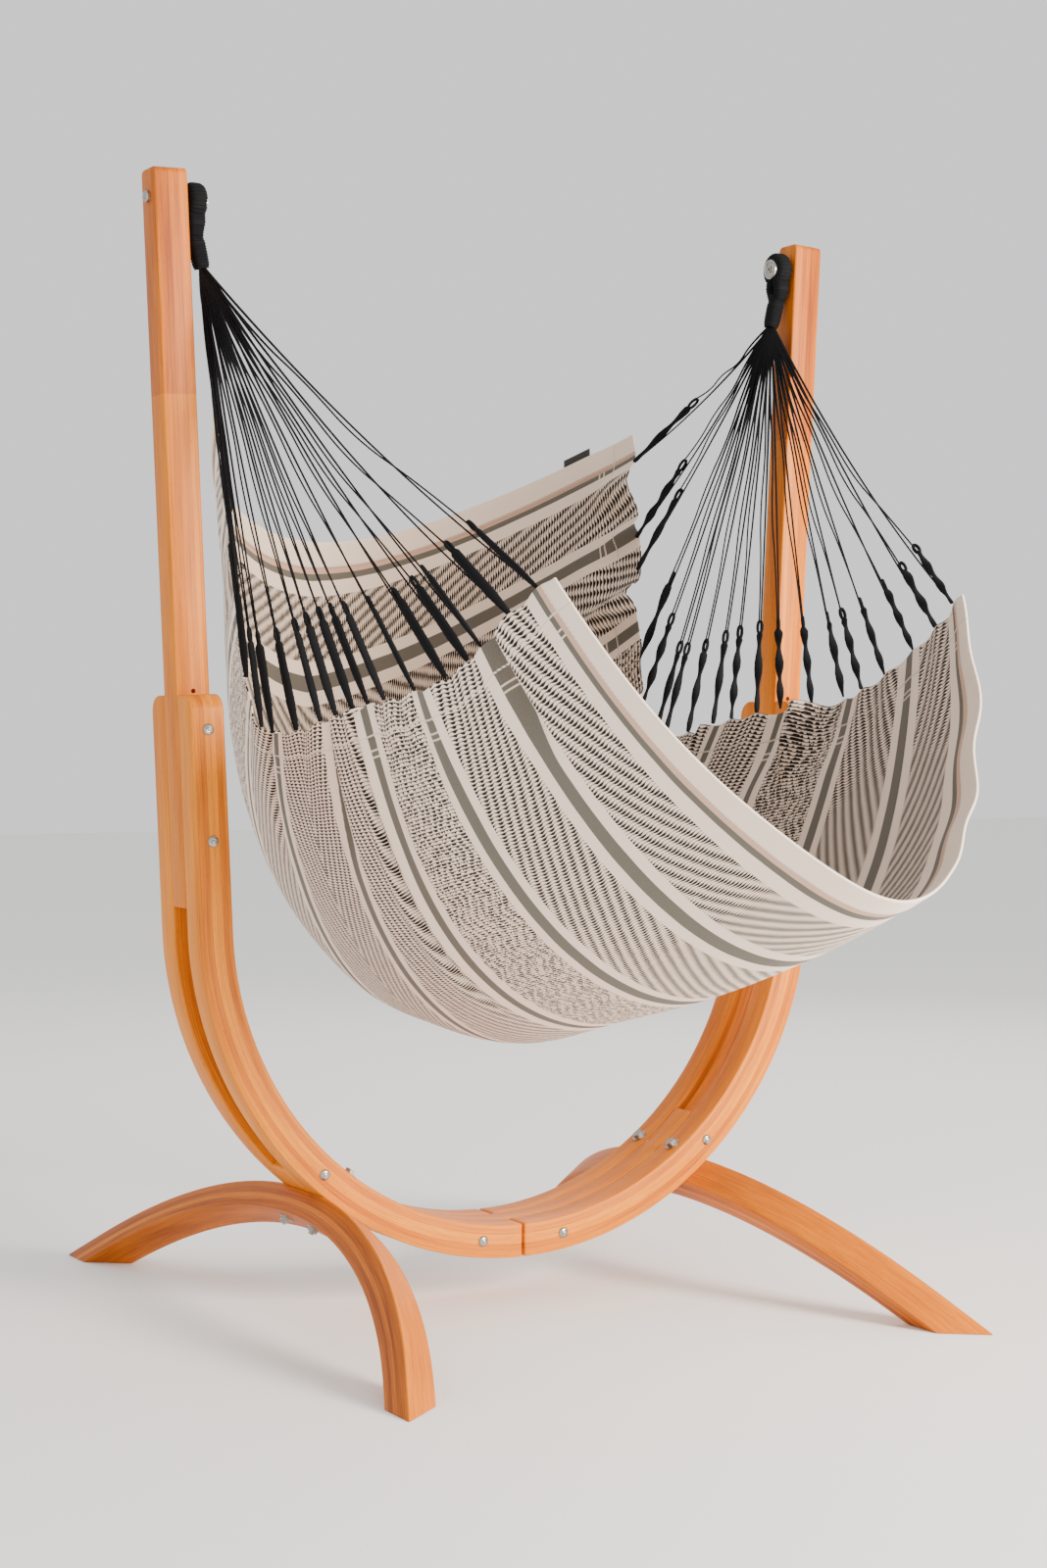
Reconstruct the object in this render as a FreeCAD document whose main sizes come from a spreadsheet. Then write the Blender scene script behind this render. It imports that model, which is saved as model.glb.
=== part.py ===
import FreeCAD, Part
import math
import os

V3 = FreeCAD.Vector
Rot = FreeCAD.Rotation
Place = FreeCAD.Placement

# Hammock chair on a laminated timber stand. Millimetres, +Z up, floor at z = 0.
# The U frame stands in the XZ plane, the chair faces -Y.
SIZES = [
    ("overall_height", 1950, "floor to the top of the posts"),
    ("hang_height", 1900, "floor to the hanging pins"),
    ("post_lean", 2.83, "outward lean of posts, degrees"),
    ("bend_radius", 625, "outer radius of the U"),
    ("ground_gap", 79, "floor to the underside of the U"),
    ("section_width", 60, "post and cheek width in the plane of the U"),
    ("post_depth", 56, "post and splice depth front to back"),
    ("cheek_depth", 55, "cheek depth front to back"),
    ("cheek_top", 1074, "floor to the top of the cheeks"),
    ("post_foot", 717, "floor to the lower end of the posts"),
    ("butt_gap", 5, "gap between left and right cheeks"),
    ("cheek_round", 28, "rounding of the outer top edge of a cheek"),
    ("post_round", 10, "rounding of the post tops"),
    ("splice_reach", 45, "splice half angle, degrees"),
    ("leg_station", 36.5, "legs on the U, degrees from the bottom"),
    ("leg_width", 62, "leg width"),
    ("leg_depth", 50, "leg laminate depth"),
    ("leg_radius", 1000, "outer radius of the leg arch"),
    ("leg_bend", 38, "half angle of the leg arch, degrees"),
    ("leg_flat", 3.6, "depth planed off the leg crown for its seat"),
    ("bolt_dia", 8, "through bolts"),
    ("dome_dia", 22, "dome heads"),
    ("dome_height", 6, "dome heads"),
    ("hex_flats", 13, "M8 nuts"),
    ("nut_height", 6.5, "M8 nuts"),
    ("leg_bolt_dia", 10, "leg bolts"),
    ("leg_hex_flats", 17, "leg bolt heads and nuts"),
    ("leg_hex_height", 7, "leg bolt heads and nuts"),
    ("washer_dia", 28, "leg bolt washers"),
    ("washer_height", 2.5, "leg bolt washers"),
    ("hole_gap", 0.2, "radial play of bolt holes"),
    ("post_bolt_high", 1016, "upper post bolt above the floor"),
    ("post_bolt_low", 830, "lower post bolt above the floor"),
    ("spare_hole", 1080, "spare height hole above the floor"),
    ("splice_bolt_in", 8, "inner splice bolts, degrees from the bottom"),
    ("splice_bolt_out", 41.5, "outer splice bolts, degrees from the bottom"),
    ("pin_dia", 12, "hanging pins"),
    ("pin_fit", 0.05, "radial running fit of rope loop on pin"),
    ("cap_dia", 38, "retaining cap at the inner end of a pin"),
    ("cap_height", 4, "retaining cap"),
    ("loop_width", 28, "rope loop along the pin"),
    ("loop_radius", 27, "outer radius of the rope loop"),
    ("loop_offset", 21, "middle of the loop from the post face"),
    ("neck_dia", 26, "wound neck"),
    ("neck_top", 50, "top of the neck below the pin"),
    ("neck_foot", 106, "foot of the neck below the pin"),
    ("cord_dia", 2.6, "thin suspension cords"),
    ("end_dia", 13, "braided cord ends"),
    ("end_length", 180, "braided cord ends"),
    ("cloth_half", 415, "mean half distance between the side edges"),
    ("cloth_front", 1127, "front hem ahead of the hanging line"),
    ("cloth_back", 765, "back hem behind the hanging line"),
    ("cloth_drop", 1440, "lowest point of the seat below the pins"),
    ("cloth_thick", 2.4, "cloth"),
    ("hem_thick", 4, "folded hems"),
    ("hem_part", 0.022, "front and back hem as a part of the cloth length"),
    ("side_part", 0.05, "side hem as a part of the half width"),
    ("cord_count", 19, "braided ends on each side"),
    ("tag_length", 58, "woven tag along the back hem"),
    ("tag_width", 14, "woven tag beyond the hem"),
]

doc = FreeCAD.newDocument("HammockOnStand")
sheet = doc.addObject("Spreadsheet::Sheet", "Sizes")
for row, (alias, value, note) in enumerate(SIZES, 1):
    sheet.set("A%d" % row, note)
    sheet.set("B%d" % row, str(value))
    sheet.setAlias("B%d" % row, alias)
doc.recompute()


def size(alias):
    return float(getattr(sheet, alias))


def bind(obj, **sizes):
    for prop, formula in sizes.items():
        for alias in sorted([s[0] for s in SIZES], key=len, reverse=True):
            formula = formula.replace("<%s>" % alias, "Sizes.%s" % alias)
        obj.setExpression(prop, formula)
    return obj


def box(name, length, width, height, place):
    obj = doc.addObject("Part::Box", name)
    obj.Placement = place
    return bind(obj, Length=length, Width=width, Height=height)


def rod(name, radius, height, place, angle=None):
    obj = doc.addObject("Part::Cylinder", name)
    obj.Placement = place
    bind(obj, Radius=radius, Height=height)
    if angle:
        bind(obj, Angle=angle)
    return obj


def hexagon(name, flats, height, place):
    obj = doc.addObject("Part::Prism", name)
    obj.Polygon = 6
    obj.Placement = place
    return bind(obj, Circumradius="%s / 2 / cos(30)" % flats, Height=height)


def fuse(name, shapes, place=None):
    obj = doc.addObject("Part::MultiFuse", name)
    obj.Shapes = shapes
    if place:
        obj.Placement = place
    return obj


def cut(name, base, tool, place=None):
    obj = doc.addObject("Part::Cut", name)
    obj.Base = base
    obj.Tool = tool
    if place:
        obj.Placement = place
    return obj


def group(name, shapes):
    obj = doc.addObject("Part::Compound", name)
    obj.Links = shapes
    return obj


def mirror(name, source, normal=V3(1, 0, 0)):
    obj = doc.addObject("Part::Mirroring", name)
    obj.Source = source
    obj.Normal = normal
    return obj


def feature(name, shape, place=None):
    obj = doc.addObject("Part::Feature", name)
    obj.Shape = shape
    if place:
        obj.Placement = place
    return obj


# ---------------------------------------------------------------- datum values
lean = math.radians(size("post_lean"))
bend = size("bend_radius")
width = size("section_width")
half_post = size("post_depth") / 2
outer_y = half_post + size("cheek_depth")
cheek_y = half_post + size("cheek_depth") / 2
arc_z = size("ground_gap") + bend
station = math.radians(size("leg_station"))

# Local frame of a right-hand straight arm: x from the inner face outwards, z up the arm.
arm_at = V3((bend - width) * math.cos(lean), 0, arc_z - (bend - width) * math.sin(lean))
arm = Place(arm_at, Rot(V3(0, 1, 0), size("post_lean")))


def up_arm(z):
    # Distance along the arm of a level above the floor, on the middle of the section.
    return (z - arm_at.z + width / 2 * math.sin(lean)) / math.cos(lean)


def on_arm(x, y, z, turn=None):
    return arm.multiply(Place(V3(x, y, z), turn or Rot()))


def on_arc(radius, degrees, y):
    a = math.radians(degrees)
    return V3(radius * math.sin(a), y, arc_z - radius * math.cos(a))


def radial(degrees):
    a = math.radians(degrees)
    return V3(math.sin(a), 0, -math.cos(a))


ALONG_Y = Rot(V3(1, 0, 0), 90)      # cylinder axis towards -Y
ALONG_X = Rot(V3(0, 1, 0), 90)      # cylinder axis towards +X


def ring(name, y_back, depth, start, angle):
    turn = ALONG_Y.multiply(Rot(V3(0, 0, 1), start))
    outer = rod(name + "_outer", "<bend_radius>", depth, Place(V3(0, y_back, arc_z), turn), angle)
    inner = rod(name + "_inner", "<bend_radius> - <section_width>", depth + " + 20",
                Place(V3(0, y_back + 10, arc_z), ALONG_Y))
    return cut(name, outer, inner)


# ------------------------------------------------------------------- the posts
post_bolt_z = [up_arm(size("post_bolt_high")), up_arm(size("post_bolt_low"))]
foot = up_arm(size("post_foot"))
top = (size("overall_height") - arm_at.z) / math.cos(lean)
post_bar = box("post_bar", "<section_width>", "<post_depth>", "1", on_arm(0, -half_post, foot))
post_bar.setExpression("Height", None)
post_bar.Height = top - foot
rounding = []
for side in (-1, 1):
    r = size("post_round")
    corner = box("post_corner_%d" % (side + 2), "<section_width> + 4", "<post_round> + 1",
                 "<post_round> + 1",
                 on_arm(-2, half_post - r if side > 0 else -half_post - 1, top - r))
    nose = rod("post_nose_%d" % (side + 2), "<post_round>", "<section_width> + 8",
               on_arm(-4, side * (half_post - r), top - r, ALONG_X))
    rounding.append(cut("post_round_%d" % (side + 2), corner, nose))
post_holes = []
for n, z in enumerate(post_bolt_z + [up_arm(size("spare_hole"))]):
    post_holes.append(rod("post_hole_%d" % n, "<bolt_dia> / 2 + <hole_gap>", "<post_depth> + 20",
                          on_arm(width / 2, half_post + 10, z, ALONG_Y)))
pin_z = size("hang_height")
face_at = on_arm(0, 0, up_arm(pin_z)).Base.x
pin_hole = rod("pin_hole", "<pin_dia> / 2 + <hole_gap>", "<section_width> + 60",
               Place(V3(face_at - 30, 0, pin_z), ALONG_X))
seat_out = rod("pin_seat_out", "14", "20", Place(V3(face_at + width - 2.5, 0, pin_z), ALONG_X))
seat_in = rod("pin_seat_in", "16", "20", Place(V3(face_at - 18.5, 0, pin_z), ALONG_X))
post_tools = fuse("post_tools", rounding + post_holes + [pin_hole, seat_out, seat_in])
post_right = cut("post_right", post_bar, post_tools)
post_left = mirror("post_left", post_right)

# ------------------------------------------------------------------ the cheeks
cheek_len = up_arm(size("cheek_top"))
flat_u = bend - math.sqrt(bend ** 2 - (size("leg_width") / 2) ** 2)


def cheek(name, side):
    # side -1 is the front cheek, +1 the rear one
    low = -outer_y if side < 0 else half_post
    bow = ring(name + "_bow", low + size("cheek_depth"), "<cheek_depth>", -90, "90 - <post_lean>")
    bar = box(name + "_bar", "<section_width>", "<cheek_depth>", "1", on_arm(0, low, 0))
    bar.setExpression("Height", None)
    bar.Height = cheek_len
    solid = fuse(name + "_blank", [bow, bar])
    solid.Refine = True
    r = size("cheek_round")
    corner = box(name + "_corner", "<section_width> + 4", "<cheek_round> + 1", "<cheek_round> + 1",
                 on_arm(-2, outer_y - r if side > 0 else -outer_y - 1, cheek_len - r))
    nose = rod(name + "_nose", "<cheek_round>", "<section_width> + 8",
               on_arm(-4, side * (outer_y - r), cheek_len - r, ALONG_X))
    tools = [cut(name + "_round", corner, nose)]
    tools.append(box(name + "_butt", "<butt_gap> / 2 + 10", "<cheek_depth> + 20", "<section_width> + 60",
                     Place(V3(-10, low - 10, size("ground_gap") - 30), Rot())))
    for n, z in enumerate(post_bolt_z):
        tools.append(rod("%s_hole_%d" % (name, n), "<bolt_dia> / 2 + <hole_gap>",
                         "<cheek_depth> + 20",
                         on_arm(width / 2, low + size("cheek_depth") + 10, z, ALONG_Y)))
    for n, deg in enumerate((size("splice_bolt_in"), size("splice_bolt_out"))):
        at = on_arc(bend - width / 2, deg, low + size("cheek_depth") + 10)
        tools.append(rod("%s_tie_%d" % (name, n), "<bolt_dia> / 2 + <hole_gap>",
                         "<cheek_depth> + 20", Place(at, ALONG_Y)))
    down = Rot(V3(0, 0, 1), radial(size("leg_station")))
    tools.append(rod(name + "_leg_hole", "<leg_bolt_dia> / 2 + <hole_gap>", "<section_width> + 40",
                     Place(on_arc(bend - width - 20, size("leg_station"), side * cheek_y), down)))
    tools.append(rod(name + "_spot", "<washer_dia> / 2 + 1.5", "12",
                     Place(on_arc(bend - width - 12, size("leg_station"), side * cheek_y), down)))
    tilt = Rot(V3(0, 1, 0), -size("leg_station"))
    seat = on_arc(bend - flat_u, size("leg_station"), 0)
    tools.append(box(name + "_seat", "<leg_width>", "2 * <cheek_depth> + 2 * <post_depth>", "12",
                     Place(seat, tilt).multiply(Place(V3(-size("leg_width") / 2, -2 * cheek_y, -12), Rot()))))
    return cut(name, solid, fuse(name + "_tools", tools))


cheek_front_right = cheek("cheek_front_right", -1)
cheek_rear_right = cheek("cheek_rear_right", 1)
cheek_front_left = mirror("cheek_front_left", cheek_front_right)
cheek_rear_left = mirror("cheek_rear_left", cheek_rear_right)

# ----------------------------------------------------------- the centre splice
splice_blank = ring("splice_blank", half_post, "<post_depth>", -90 - size("splice_reach"),
                    "2 * <splice_reach>")
splice_tools = []
for n, deg in enumerate((size("splice_bolt_in"), size("splice_bolt_out"))):
    for side in (-1, 1):
        at = on_arc(bend - width / 2, side * deg, half_post + 10)
        splice_tools.append(rod("splice_hole_%d_%d" % (n, side + 2), "<bolt_dia> / 2 + <hole_gap>",
                                "<post_depth> + 20", Place(at, ALONG_Y)))
for side in (-1, 1):
    tilt = Rot(V3(0, 1, 0), -side * size("leg_station"))
    seat = on_arc(bend - flat_u, side * size("leg_station"), 0)
    flat = box("splice_seat_%d" % (side + 2), "<leg_width>", "<post_depth> + 20", "12",
               Place(seat, tilt).multiply(Place(V3(-size("leg_width") / 2, -half_post - 10, -12), Rot())))
    splice_tools.append(flat)
centre_splice = cut("centre_splice", splice_blank, fuse("splice_tools", splice_tools))

# -------------------------------------------------------------------- the legs
leg_r = size("leg_radius")
leg_d = size("leg_depth")
beta = math.radians(size("leg_bend"))
crown = rod("leg_crown_outer", "<leg_radius>", "<leg_width>",
            Place(V3(-size("leg_width") / 2, 0, -leg_r),
                  ALONG_X.multiply(Rot(V3(0, 0, 1), 180 - size("leg_bend")))), "2 * <leg_bend>")
hollow = rod("leg_crown_inner", "<leg_radius> - <leg_depth>", "<leg_width> + 20",
             Place(V3(-size("leg_width") / 2 - 10, 0, -leg_r), ALONG_X))
arch = cut("leg_arch", crown, hollow)
toe = box("leg_toe", "<leg_width>", "<leg_depth> * 7", "<leg_depth>",
          Place(V3(-size("leg_width") / 2, (leg_r - leg_d) * math.sin(beta),
                   -leg_r + (leg_r - leg_d) * math.cos(beta)), Rot(V3(1, 0, 0), -size("leg_bend"))))
heel = mirror("leg_heel", toe, V3(0, 1, 0))
leg_tools = [box("leg_plane", "<leg_width> + 20", "600", "40",
                 Place(V3(-size("leg_width") / 2 - 10, -300, -size("leg_flat")), Rot()))]
under = size("leg_depth") + 0.8
for side in (-1, 1):
    leg_tools.append(rod("leg_hole_%d" % (side + 2), "<leg_bolt_dia> / 2 + <hole_gap>",
                         "<leg_depth> + 60", Place(V3(0, side * cheek_y, -leg_d - 30), Rot())))
    leg_tools.append(rod("leg_spot_%d" % (side + 2), "<washer_dia> / 2 + 1.5", "12",
                         Place(V3(0, side * cheek_y, -under - 12), Rot())))
leg_bar = fuse("leg_bar", [arch, toe, heel])
leg_origin = on_arc(bend - flat_u - size("leg_flat"), size("leg_station"), 0)
leg_frame = Place(leg_origin, Rot(V3(0, 1, 0), -size("leg_station")))
leg_blank = cut("leg_blank", leg_bar, fuse("leg_tools", leg_tools), leg_frame)
floor_block = box("floor_block", "3000", "3000", "400", Place(V3(-1500, -1500, -400), Rot()))
leg_right = cut("leg_right", leg_blank, floor_block)
leg_left = mirror("leg_left", leg_right)


# -------------------------------------------------------------- the fasteners
def dome_bolt(name, at, length):
    # dome head on the front face, shank towards +Y
    turn = Rot(V3(1, 0, 0), -90)
    shank = rod(name + "_shank", "<bolt_dia> / 2", length, Place(at, turn))
    head = doc.addObject("Part::Ellipsoid", name + "_head")
    head.Placement = Place(at, ALONG_Y)
    head.Angle1 = 0
    bind(head, Radius1="<dome_height>", Radius2="<dome_dia> / 2", Radius3="<dome_dia> / 2")
    return fuse(name, [shank, head])


def frame_bolts(side):
    spots = []
    for z in post_bolt_z:
        spots.append(on_arm(width / 2, -outer_y, z).Base)
    return [V3(side * p.x, p.y, p.z) for p in spots]


def tie_bolts(side):
    spots = [on_arc(bend - width / 2, size(a), -outer_y) for a in ("splice_bolt_in", "splice_bolt_out")]
    return [V3(side * p.x, p.y, p.z) for p in spots]


def bolt_set(stem, places):
    bolts = []
    nuts = []
    through = "<post_depth> + 2 * <cheek_depth> + <nut_height> + 2"
    for n, at in enumerate(places):
        bolts.append(dome_bolt("%s_bolt_%d" % (stem, n), at, through))
        back = Place(V3(at.x, outer_y, at.z), Rot(V3(1, 0, 0), -90))
        nut = hexagon("%s_nut_%d" % (stem, n), "<hex_flats>", "<nut_height>", back)
        bore = rod("%s_bore_%d" % (stem, n), "<bolt_dia> / 2", "<nut_height> + 4",
                   Place(V3(at.x, outer_y - 2, at.z), Rot(V3(1, 0, 0), -90)))
        nuts.append(cut("%s_nut_cut_%d" % (stem, n), nut, bore))
    return group(stem + "_bolts", bolts), group(stem + "_nuts", nuts)


post_bolts, post_nuts = bolt_set("post", frame_bolts(-1) + frame_bolts(1))
splice_bolts, splice_nuts = bolt_set("splice", tie_bolts(-1) + tie_bolts(1))

leg_bolt_parts = []
leg_washer_parts = []
leg_nut_parts = []
head_r = bend - width
nut_r = bend - flat_u - size("leg_flat") + under
for side in (-1, 1):
    down = Rot(V3(0, 0, 1), radial(side * size("leg_station")))
    for row in (-1, 1):
        tag = "%d%d" % (side + 2, row + 2)

        def spot(radius):
            return Place(on_arc(radius, side * size("leg_station"), row * cheek_y), down)

        wash = size("washer_height")
        hexh = size("leg_hex_height")
        cap = hexagon("leg_head_" + tag, "<leg_hex_flats>", "<leg_hex_height>", spot(head_r - wash - hexh))
        stem = rod("leg_stem_" + tag, "<leg_bolt_dia> / 2", "1", spot(head_r - wash - 1))
        stem.setExpression("Height", None)
        stem.Height = nut_r - head_r + 2 * wash + hexh + 5
        leg_bolt_parts.append(fuse("leg_bolt_" + tag, [cap, stem]))
        for n, radius in enumerate((head_r - wash, nut_r)):
            disc = rod("leg_disc_%s%d" % (tag, n), "<washer_dia> / 2", "<washer_height>", spot(radius))
            eye = rod("leg_disc_eye_%s%d" % (tag, n), "<leg_bolt_dia> / 2 + <hole_gap>",
                      "<washer_height> + 4", spot(radius - 2))
            leg_washer_parts.append(cut("leg_washer_%s%d" % (tag, n), disc, eye))
        nut = hexagon("leg_nut_" + tag, "<leg_hex_flats>", "<leg_hex_height>", spot(nut_r + wash))
        bore = rod("leg_nut_bore_" + tag, "<leg_bolt_dia> / 2", "<leg_hex_height> + 4",
                   spot(nut_r + wash - 2))
        leg_nut_parts.append(cut("leg_nut_cut_" + tag, nut, bore))
leg_bolts = group("leg_bolts", leg_bolt_parts)
leg_washers = group("leg_washers", leg_washer_parts)
leg_nuts = group("leg_nuts", leg_nut_parts)

# -------------------------------------------------------- the hanging hardware
loop_x = face_at - size("loop_offset")
cap_x = loop_x - size("loop_width") / 2 - 1.5 - size("cap_height")
pin_from = cap_x - 1
pin_bar = rod("pin_bar", "<pin_dia> / 2", "1", Place(V3(pin_from, 0, pin_z), ALONG_X))
pin_bar.setExpression("Height", None)
pin_bar.Height = face_at + width + 6 - pin_from
hanging_pin_right = cut("hanging_pin_right", pin_bar,
                        rod("pin_socket", "3", "4", Place(V3(pin_from - 1, 0, pin_z), ALONG_X)))
hanging_pin_left = mirror("hanging_pin_left", hanging_pin_right)

cap_disc = rod("cap_disc", "<cap_dia> / 2", "<cap_height>", Place(V3(cap_x, 0, pin_z), ALONG_X))
cap_bore = rod("cap_bore", "<pin_dia> / 2", "<cap_height> + 8", Place(V3(cap_x - 4, 0, pin_z), ALONG_X))
retaining_cap_right = cut("retaining_cap_right", cap_disc, cap_bore)
retaining_cap_left = mirror("retaining_cap_left", retaining_cap_right)

collar_disc = rod("collar_disc", "15", "3", Place(V3(face_at - 1.5, 0, pin_z), ALONG_X))
collar_bore = rod("collar_bore", "<pin_dia> / 2 + 0.1", "8", Place(V3(face_at - 4, 0, pin_z), ALONG_X))
inner_washer_right = cut("inner_washer_right", collar_disc, collar_bore)
inner_washer_left = mirror("inner_washer_left", inner_washer_right)

outer_face = face_at + width - 2.5
dome = doc.addObject("Part::Ellipsoid", "outer_dome")
dome.Placement = Place(V3(outer_face + 7, 0, pin_z), ALONG_X)
dome.Angle1 = 0
dome.Radius1 = 5
dome.Radius2 = 10
dome.Radius3 = 10
dome_base = rod("outer_dome_base", "10", "7", Place(V3(outer_face, 0, pin_z), ALONG_X))
dome_bore = rod("outer_dome_bore", "<pin_dia> / 2", "40", Place(V3(outer_face - 31.5, 0, pin_z), ALONG_X))
outer_nut_right = cut("outer_nut_right", fuse("outer_nut_blank", [dome, dome_base]), dome_bore)
outer_nut_left = mirror("outer_nut_left", outer_nut_right)

# ---------------------------------------------------------- rope loop and neck
loop_ring = rod("loop_ring", "<loop_radius>", "<loop_width>",
                Place(V3(loop_x - size("loop_width") / 2, 0, pin_z), ALONG_X))
loop_tail = doc.addObject("Part::Cone", "loop_tail")
loop_tail.Placement = Place(V3(loop_x, 0, pin_z - size("neck_top")), Rot())
bind(loop_tail, Radius1="<neck_dia> / 2 - 1", Radius2="<loop_width> / 2", Height="<neck_top> - 6")
loop_bore = rod("loop_bore", "<pin_dia> / 2 + <pin_fit>", "<loop_width> + 40",
                Place(V3(loop_x - size("loop_width") / 2 - 20, 0, pin_z), ALONG_X))
loop_slot = box("loop_slot", "<loop_width> + 40", "<pin_dia> * 0.7", "<pin_dia> * 1.5",
                Place(V3(loop_x - size("loop_width") / 2 - 20, -size("pin_dia") * 0.35,
                         pin_z - size("pin_dia") * 1.5), Rot()))
rope_loop_right = cut("rope_loop_right", fuse("loop_blank", [loop_ring, loop_tail]),
                      fuse("loop_opening", [loop_bore, loop_slot]))
rope_loop_left = mirror("rope_loop_left", rope_loop_right)

neck_b = V3(loop_x - 15, 0, pin_z - size("neck_foot"))
neck_dir = neck_b - V3(loop_x, 0, pin_z - size("neck_top"))
neck_a = neck_b - neck_dir * 1.07
neck_dir = neck_b - neck_a
neck_turn = Rot(V3(0, 0, 1), neck_dir)
neck_pieces = []
turns = 3
for n in range(turns):
    part = doc.addObject("Part::Cone", "neck_wrap_%d" % n)
    part.Placement = Place(neck_a + neck_dir * (n / turns), neck_turn)
    bind(part, Radius1="<neck_dia> / 2 - 1 - %d" % n, Radius2="<neck_dia> / 2 - 3 - %d" % n)
    part.Height = neck_dir.Length / turns
    neck_pieces.append(part)
# The winding butts flat against the foot of the loop, whichever way it leans.
neck_plane = box("neck_plane", "<neck_dia> * 3", "<neck_dia> * 3", "40",
                 Place(V3(loop_x - size("neck_dia") * 1.5, -size("neck_dia") * 1.5,
                          pin_z - size("neck_top") - 0.2), Rot()))
neck_winding_right = cut("neck_winding_right", fuse("neck_blank", neck_pieces), neck_plane)
neck_winding_left = mirror("neck_winding_left", neck_winding_right)

# ------------------------------------------------------------ the cloth surface
# Stations from the front hem to the back hem. Each gives the half width, the reach
# and drop of the side edge, and the reach and drop of the middle of the cloth.
# Half widths are parts of cloth_half, reaches parts of cloth_front (towards -Y) or
# cloth_back (towards +Y), drops parts of cloth_drop below the pins.
STATIONS = [
    (0.00, 0.93, -0.710, 0.455, -1.000, 0.776),
    (0.09, 0.98, -0.621, 0.500, -0.790, 0.848),
    (0.20, 0.99, -0.497, 0.551, -0.537, 0.918),
    (0.31, 1.02, -0.364, 0.575, -0.297, 0.962),
    (0.42, 0.99, -0.222, 0.586, -0.080, 0.999),
    (0.52, 0.97, -0.098, 0.600, 0.196, 1.000),
    (0.62, 0.98, 0.026, 0.615, 0.529, 0.972),
    (0.72, 1.00, 0.196, 0.604, 0.837, 0.875),
    (0.82, 1.02, 0.261, 0.500, 1.046, 0.715),
    (0.91, 1.04, 0.294, 0.354, 1.046, 0.528),
    (1.00, 1.08, 0.346, 0.203, 1.000, 0.346),
]


def spline(xs, ys, x):
    # cubic Hermite interpolation with three-point slopes
    last = len(xs) - 1
    slopes = []
    for i in range(len(xs)):
        a = max(i - 1, 0)
        b = min(i + 1, last)
        slopes.append((ys[b] - ys[a]) / (xs[b] - xs[a]))
    i = 0
    while i < last - 1 and x > xs[i + 1]:
        i += 1
    h = xs[i + 1] - xs[i]
    t = (x - xs[i]) / h
    return ((2 * t ** 3 - 3 * t ** 2 + 1) * ys[i] + (t ** 3 - 2 * t ** 2 + t) * h * slopes[i]
            + (3 * t ** 2 - 2 * t ** 3) * ys[i + 1] + (t ** 3 - t ** 2) * h * slopes[i + 1])


def reach(part):
    return part * (size("cloth_front") if part < 0 else size("cloth_back"))


marks = [s[0] for s in STATIONS]
edge_x = [s[1] * size("cloth_half") for s in STATIONS]
edge_y = [reach(s[2]) for s in STATIONS]
edge_z = [pin_z - s[3] * size("cloth_drop") for s in STATIONS]
mid_y = [reach(s[4]) for s in STATIONS]
mid_z = [pin_z - s[5] * size("cloth_drop") for s in STATIONS]


def cloth_point(u, v):
    # u runs -1 to 1 from side edge to side edge, v 0 to 1 from front to back
    h = abs(u) ** 1.9
    my = spline(marks, mid_y, v)
    mz = spline(marks, mid_z, v)
    return V3(spline(marks, edge_x, v) * u * (1 + 0.1 * (1 - u * u)),
              my + (spline(marks, edge_y, v) - my) * h,
              mz + (spline(marks, edge_z, v) - mz) * h)


def cloth_normal(u, v):
    e = 0.004
    du = cloth_point(min(u + e, 1), v) - cloth_point(max(u - e, -1), v)
    dv = cloth_point(u, min(v + e, 1)) - cloth_point(u, max(v - e, 0))
    n = dv.cross(du)
    return n.normalize()


def layer(u0, u1, v0, v1, nu, nv, off):
    rows = []
    for i in range(nv + 1):
        v = v0 + (v1 - v0) * i / nv
        line = []
        for j in range(nu + 1):
            u = u0 + (u1 - u0) * j / nu
            line.append(cloth_point(u, v) + cloth_normal(u, v) * off)
        rows.append(line)
    surface = Part.BSplineSurface()
    surface.interpolate(rows)
    return surface


def cloth_solid(u0, u1, v0, v1, nu, nv, thick):
    outer = layer(u0, u1, v0, v1, nu, nv, thick / 2)
    inner = layer(u0, u1, v0, v1, nu, nv, -thick / 2)
    faces = [outer.toShape(), inner.toShape()]
    a0, a1, b0, b1 = outer.bounds()
    c0, c1, d0, d1 = inner.bounds()
    for p, q in ((a0, c0), (a1, c1)):
        faces.append(Part.makeRuledSurface(outer.uIso(p).toShape(), inner.uIso(q).toShape()))
    for p, q in ((b0, d0), (b1, d1)):
        faces.append(Part.makeRuledSurface(outer.vIso(p).toShape(), inner.vIso(q).toShape()))
    shell = Part.makeShell(faces)
    shell.sewShape()
    solid = Part.makeSolid(shell)
    if solid.Volume < 0:
        solid.reverse()
    return solid


hem = size("hem_part")
side_u = 1 - size("side_part")
thin = size("cloth_thick")
thick = size("hem_thick")
clear_v = 0.0003
clear_u = 0.0008
cloth_panel = feature("cloth_panel", cloth_solid(-side_u + clear_u, side_u - clear_u,
                                                 hem + clear_v, 1 - hem - clear_v, 36, 44, thin))
front_hem = feature("front_hem", cloth_solid(-1, 1, 0, hem, 36, 3, thick))
back_hem = feature("back_hem", cloth_solid(-1, 1, 1 - hem, 1, 36, 3, thick))
side_hem_right = feature("side_hem_right", cloth_solid(side_u, 1, hem + clear_v, 1 - hem - clear_v,
                                                       3, 44, thick))
side_hem_left = mirror("side_hem_left", side_hem_right)
tag_u = 0.86
tag_along = cloth_point(tag_u + 0.04, 1) - cloth_point(tag_u - 0.04, 1)
tag_out = cloth_point(tag_u, 1) - cloth_point(tag_u, 0.99)
tag_frame = Place(cloth_point(tag_u, 1), Rot(tag_along, V3(0, 0, 0), tag_out, "XZY"))
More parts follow.
